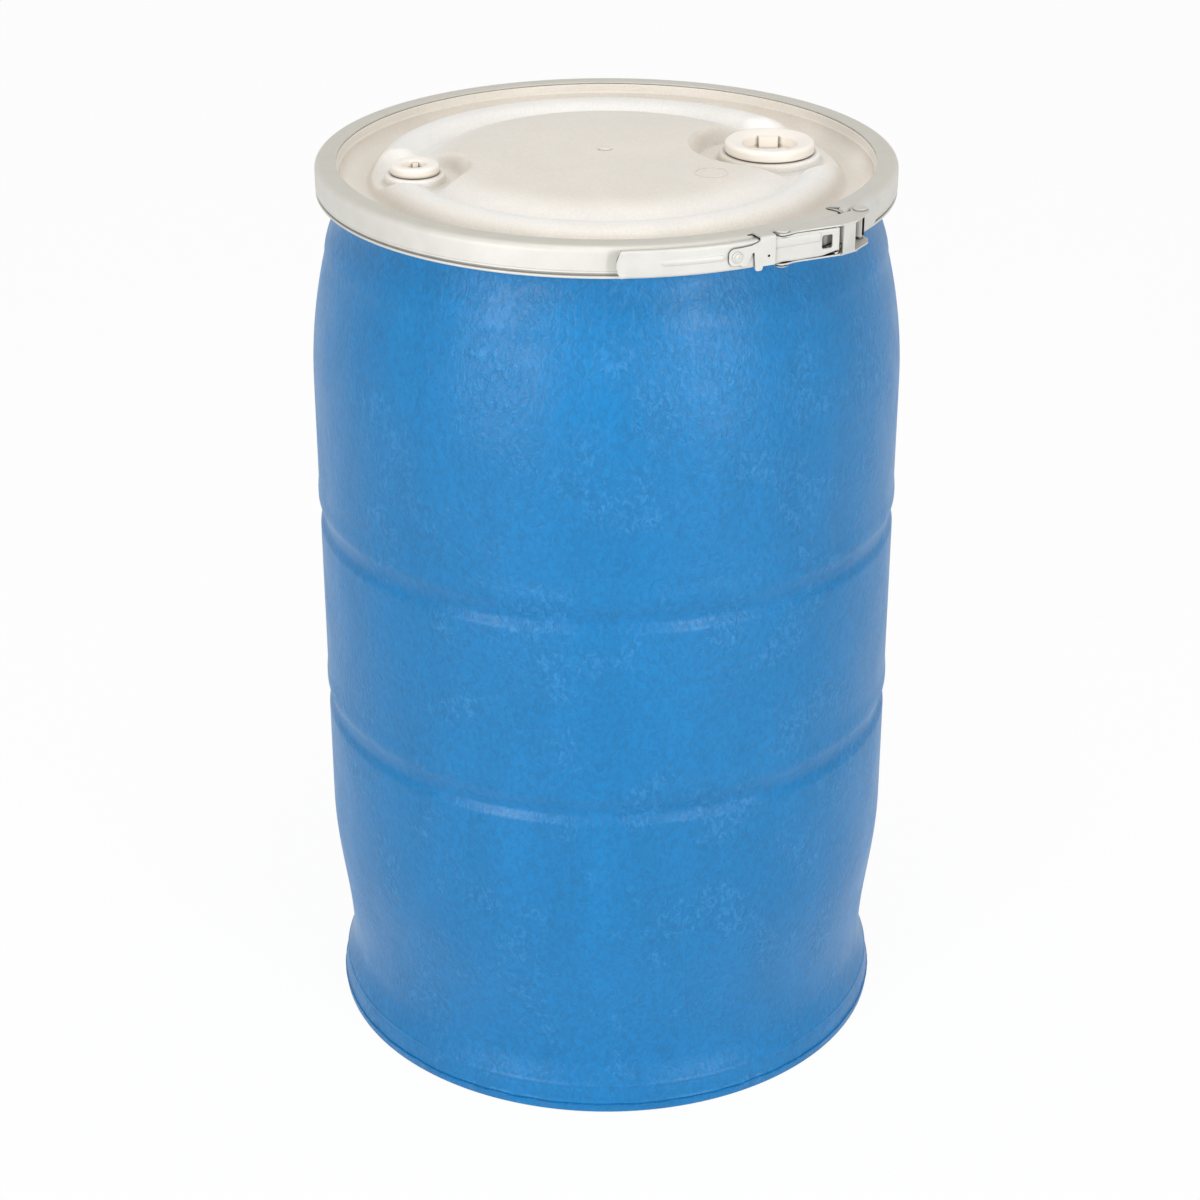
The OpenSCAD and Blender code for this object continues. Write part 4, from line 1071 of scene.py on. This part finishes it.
class DRUM_OT_stage(bpy.types.Operator):
    """Lays the white floor, hangs the soft lamps and sets up the camera"""
    bl_idname = "drum.stage"
    bl_label = "Stage"

    def lamp(self, name, place, target, size, power):
        """A large soft lamp that faces a point"""
        bpy.ops.object.light_add(type='AREA', location=place)
        lamp = bpy.context.object
        lamp.name = name
        lamp.data.shape, lamp.data.size, lamp.data.size_y = 'RECTANGLE', size[0], size[1]
        lamp.data.energy = power
        lamp.rotation_euler = (Vector(target) - Vector(place)).to_track_quat('-Z', 'Y').to_euler()

    def execute(self, context):
        s = values(context.scene.drum_stage)
        scene = context.scene
        activate(None)
        bpy.ops.mesh.primitive_plane_add(size=40)
        floor = context.object
        floor.name = "studio_floor"
        edit(floor)
        bpy.ops.mesh.subdivide(number_cuts=3)
        bpy.ops.object.mode_set(mode='OBJECT')
        floor.data.materials.append(studio_paper(s.floor))
        # Two tall lamps at the front corners light the body, and a wide one over it lights the lid
        self.lamp("key", (-2.1, -2.8, 1.15), (0, 0, 0.45), (0.7, 1.9), 47)
        self.lamp("fill", (2.1, -2.7, 1.1), (0, 0, 0.45), (0.6, 1.9), 41)
        self.lamp("top", (0.1, -0.9, 3.1), (0, 0, 0.6), (2.0, 1.6), 30)
        # The camera stands 2.3 m away and looks down by 26 degrees
        bpy.ops.object.camera_add(location=(0, -2.0784, 1.37588), rotation=(radians(63.9965), 0, 0))
        camera = context.object
        camera.data.sensor_width, camera.data.lens, camera.data.shift_x = 36, s.focal, -0.0054
        camera.data.clip_start, camera.data.clip_end = 0.05, 60
        scene.camera = camera
        scene.view_settings.view_transform = 'Standard'
        world = scene.world or bpy.data.worlds.new("studio")
        scene.world = world
        world.use_nodes = True
        tree = world.node_tree
        tree.nodes.clear()
        even = add(tree, 'ShaderNodeBackground', {"Color": (1, 1, 1, 1), "Strength": s.daylight})[0]
        white = add(tree, 'ShaderNodeBackground', {"Color": (1, 1, 1, 1), "Strength": 1.0})[0]
        sky = add(tree, 'ShaderNodeMixShader', {0: sight(tree), 1: even, 2: white})
        add(tree, 'ShaderNodeOutputWorld', {"Surface": sky[0]})
        return {'FINISHED'}


class DRUM_PT_panel(bpy.types.Panel):
    """Lists the steps that build the drum"""
    bl_idname = "DRUM_PT_panel"
    bl_label = "Open Head Drum"
    bl_space_type = 'VIEW_3D'
    bl_region_type = 'UI'
    bl_category = "Drum"

    def draw(self, context):
        for operator, settings in STEPS:
            box = self.layout.box()
            box.operator(operator.bl_idname)
            group = getattr(context.scene, settings)
            for key in group.__annotations__:
                box.prop(group, key)


GROUPS = {
    "drum_body": DrumBodySettings,
    "drum_lid": LidSettings,
    "drum_plugs": PlugSettings,
    "drum_ring": RingSettings,
    "drum_latch": LatchSettings,
    "drum_stage": StageSettings,
}
STEPS = (
    (DRUM_OT_stage, "drum_stage"),
    (DRUM_OT_body, "drum_body"),
    (DRUM_OT_lid, "drum_lid"),
    (DRUM_OT_plugs, "drum_plugs"),
    (DRUM_OT_ring, "drum_ring"),
    (DRUM_OT_catch, "drum_ring"),
    (DRUM_OT_lever, "drum_latch"),
    (DRUM_OT_link, "drum_latch"),
    (DRUM_OT_safety_latch, "drum_latch"),
)


def register():
    for name, group in GROUPS.items():
        bpy.utils.register_class(group)
        setattr(bpy.types.Scene, name, PointerProperty(type=group))
    for operator, _ in STEPS:
        bpy.utils.register_class(operator)
    bpy.utils.register_class(DRUM_PT_panel)


def unregister():
    bpy.utils.unregister_class(DRUM_PT_panel)
    for operator, _ in reversed(STEPS):
        bpy.utils.unregister_class(operator)
    for name, group in GROUPS.items():
        delattr(bpy.types.Scene, name)
        bpy.utils.unregister_class(group)


def main():
    """Builds the stage and every piece"""
    register()
    bpy.ops.drum.stage()
    bpy.ops.drum.body()
    bpy.ops.drum.lid()
    bpy.ops.drum.plugs()
    bpy.ops.drum.ring()
    bpy.ops.drum.catch()
    bpy.ops.drum.lever()
    bpy.ops.drum.link()
    bpy.ops.drum.safety_latch()


if __name__ == "__main__":
    main()
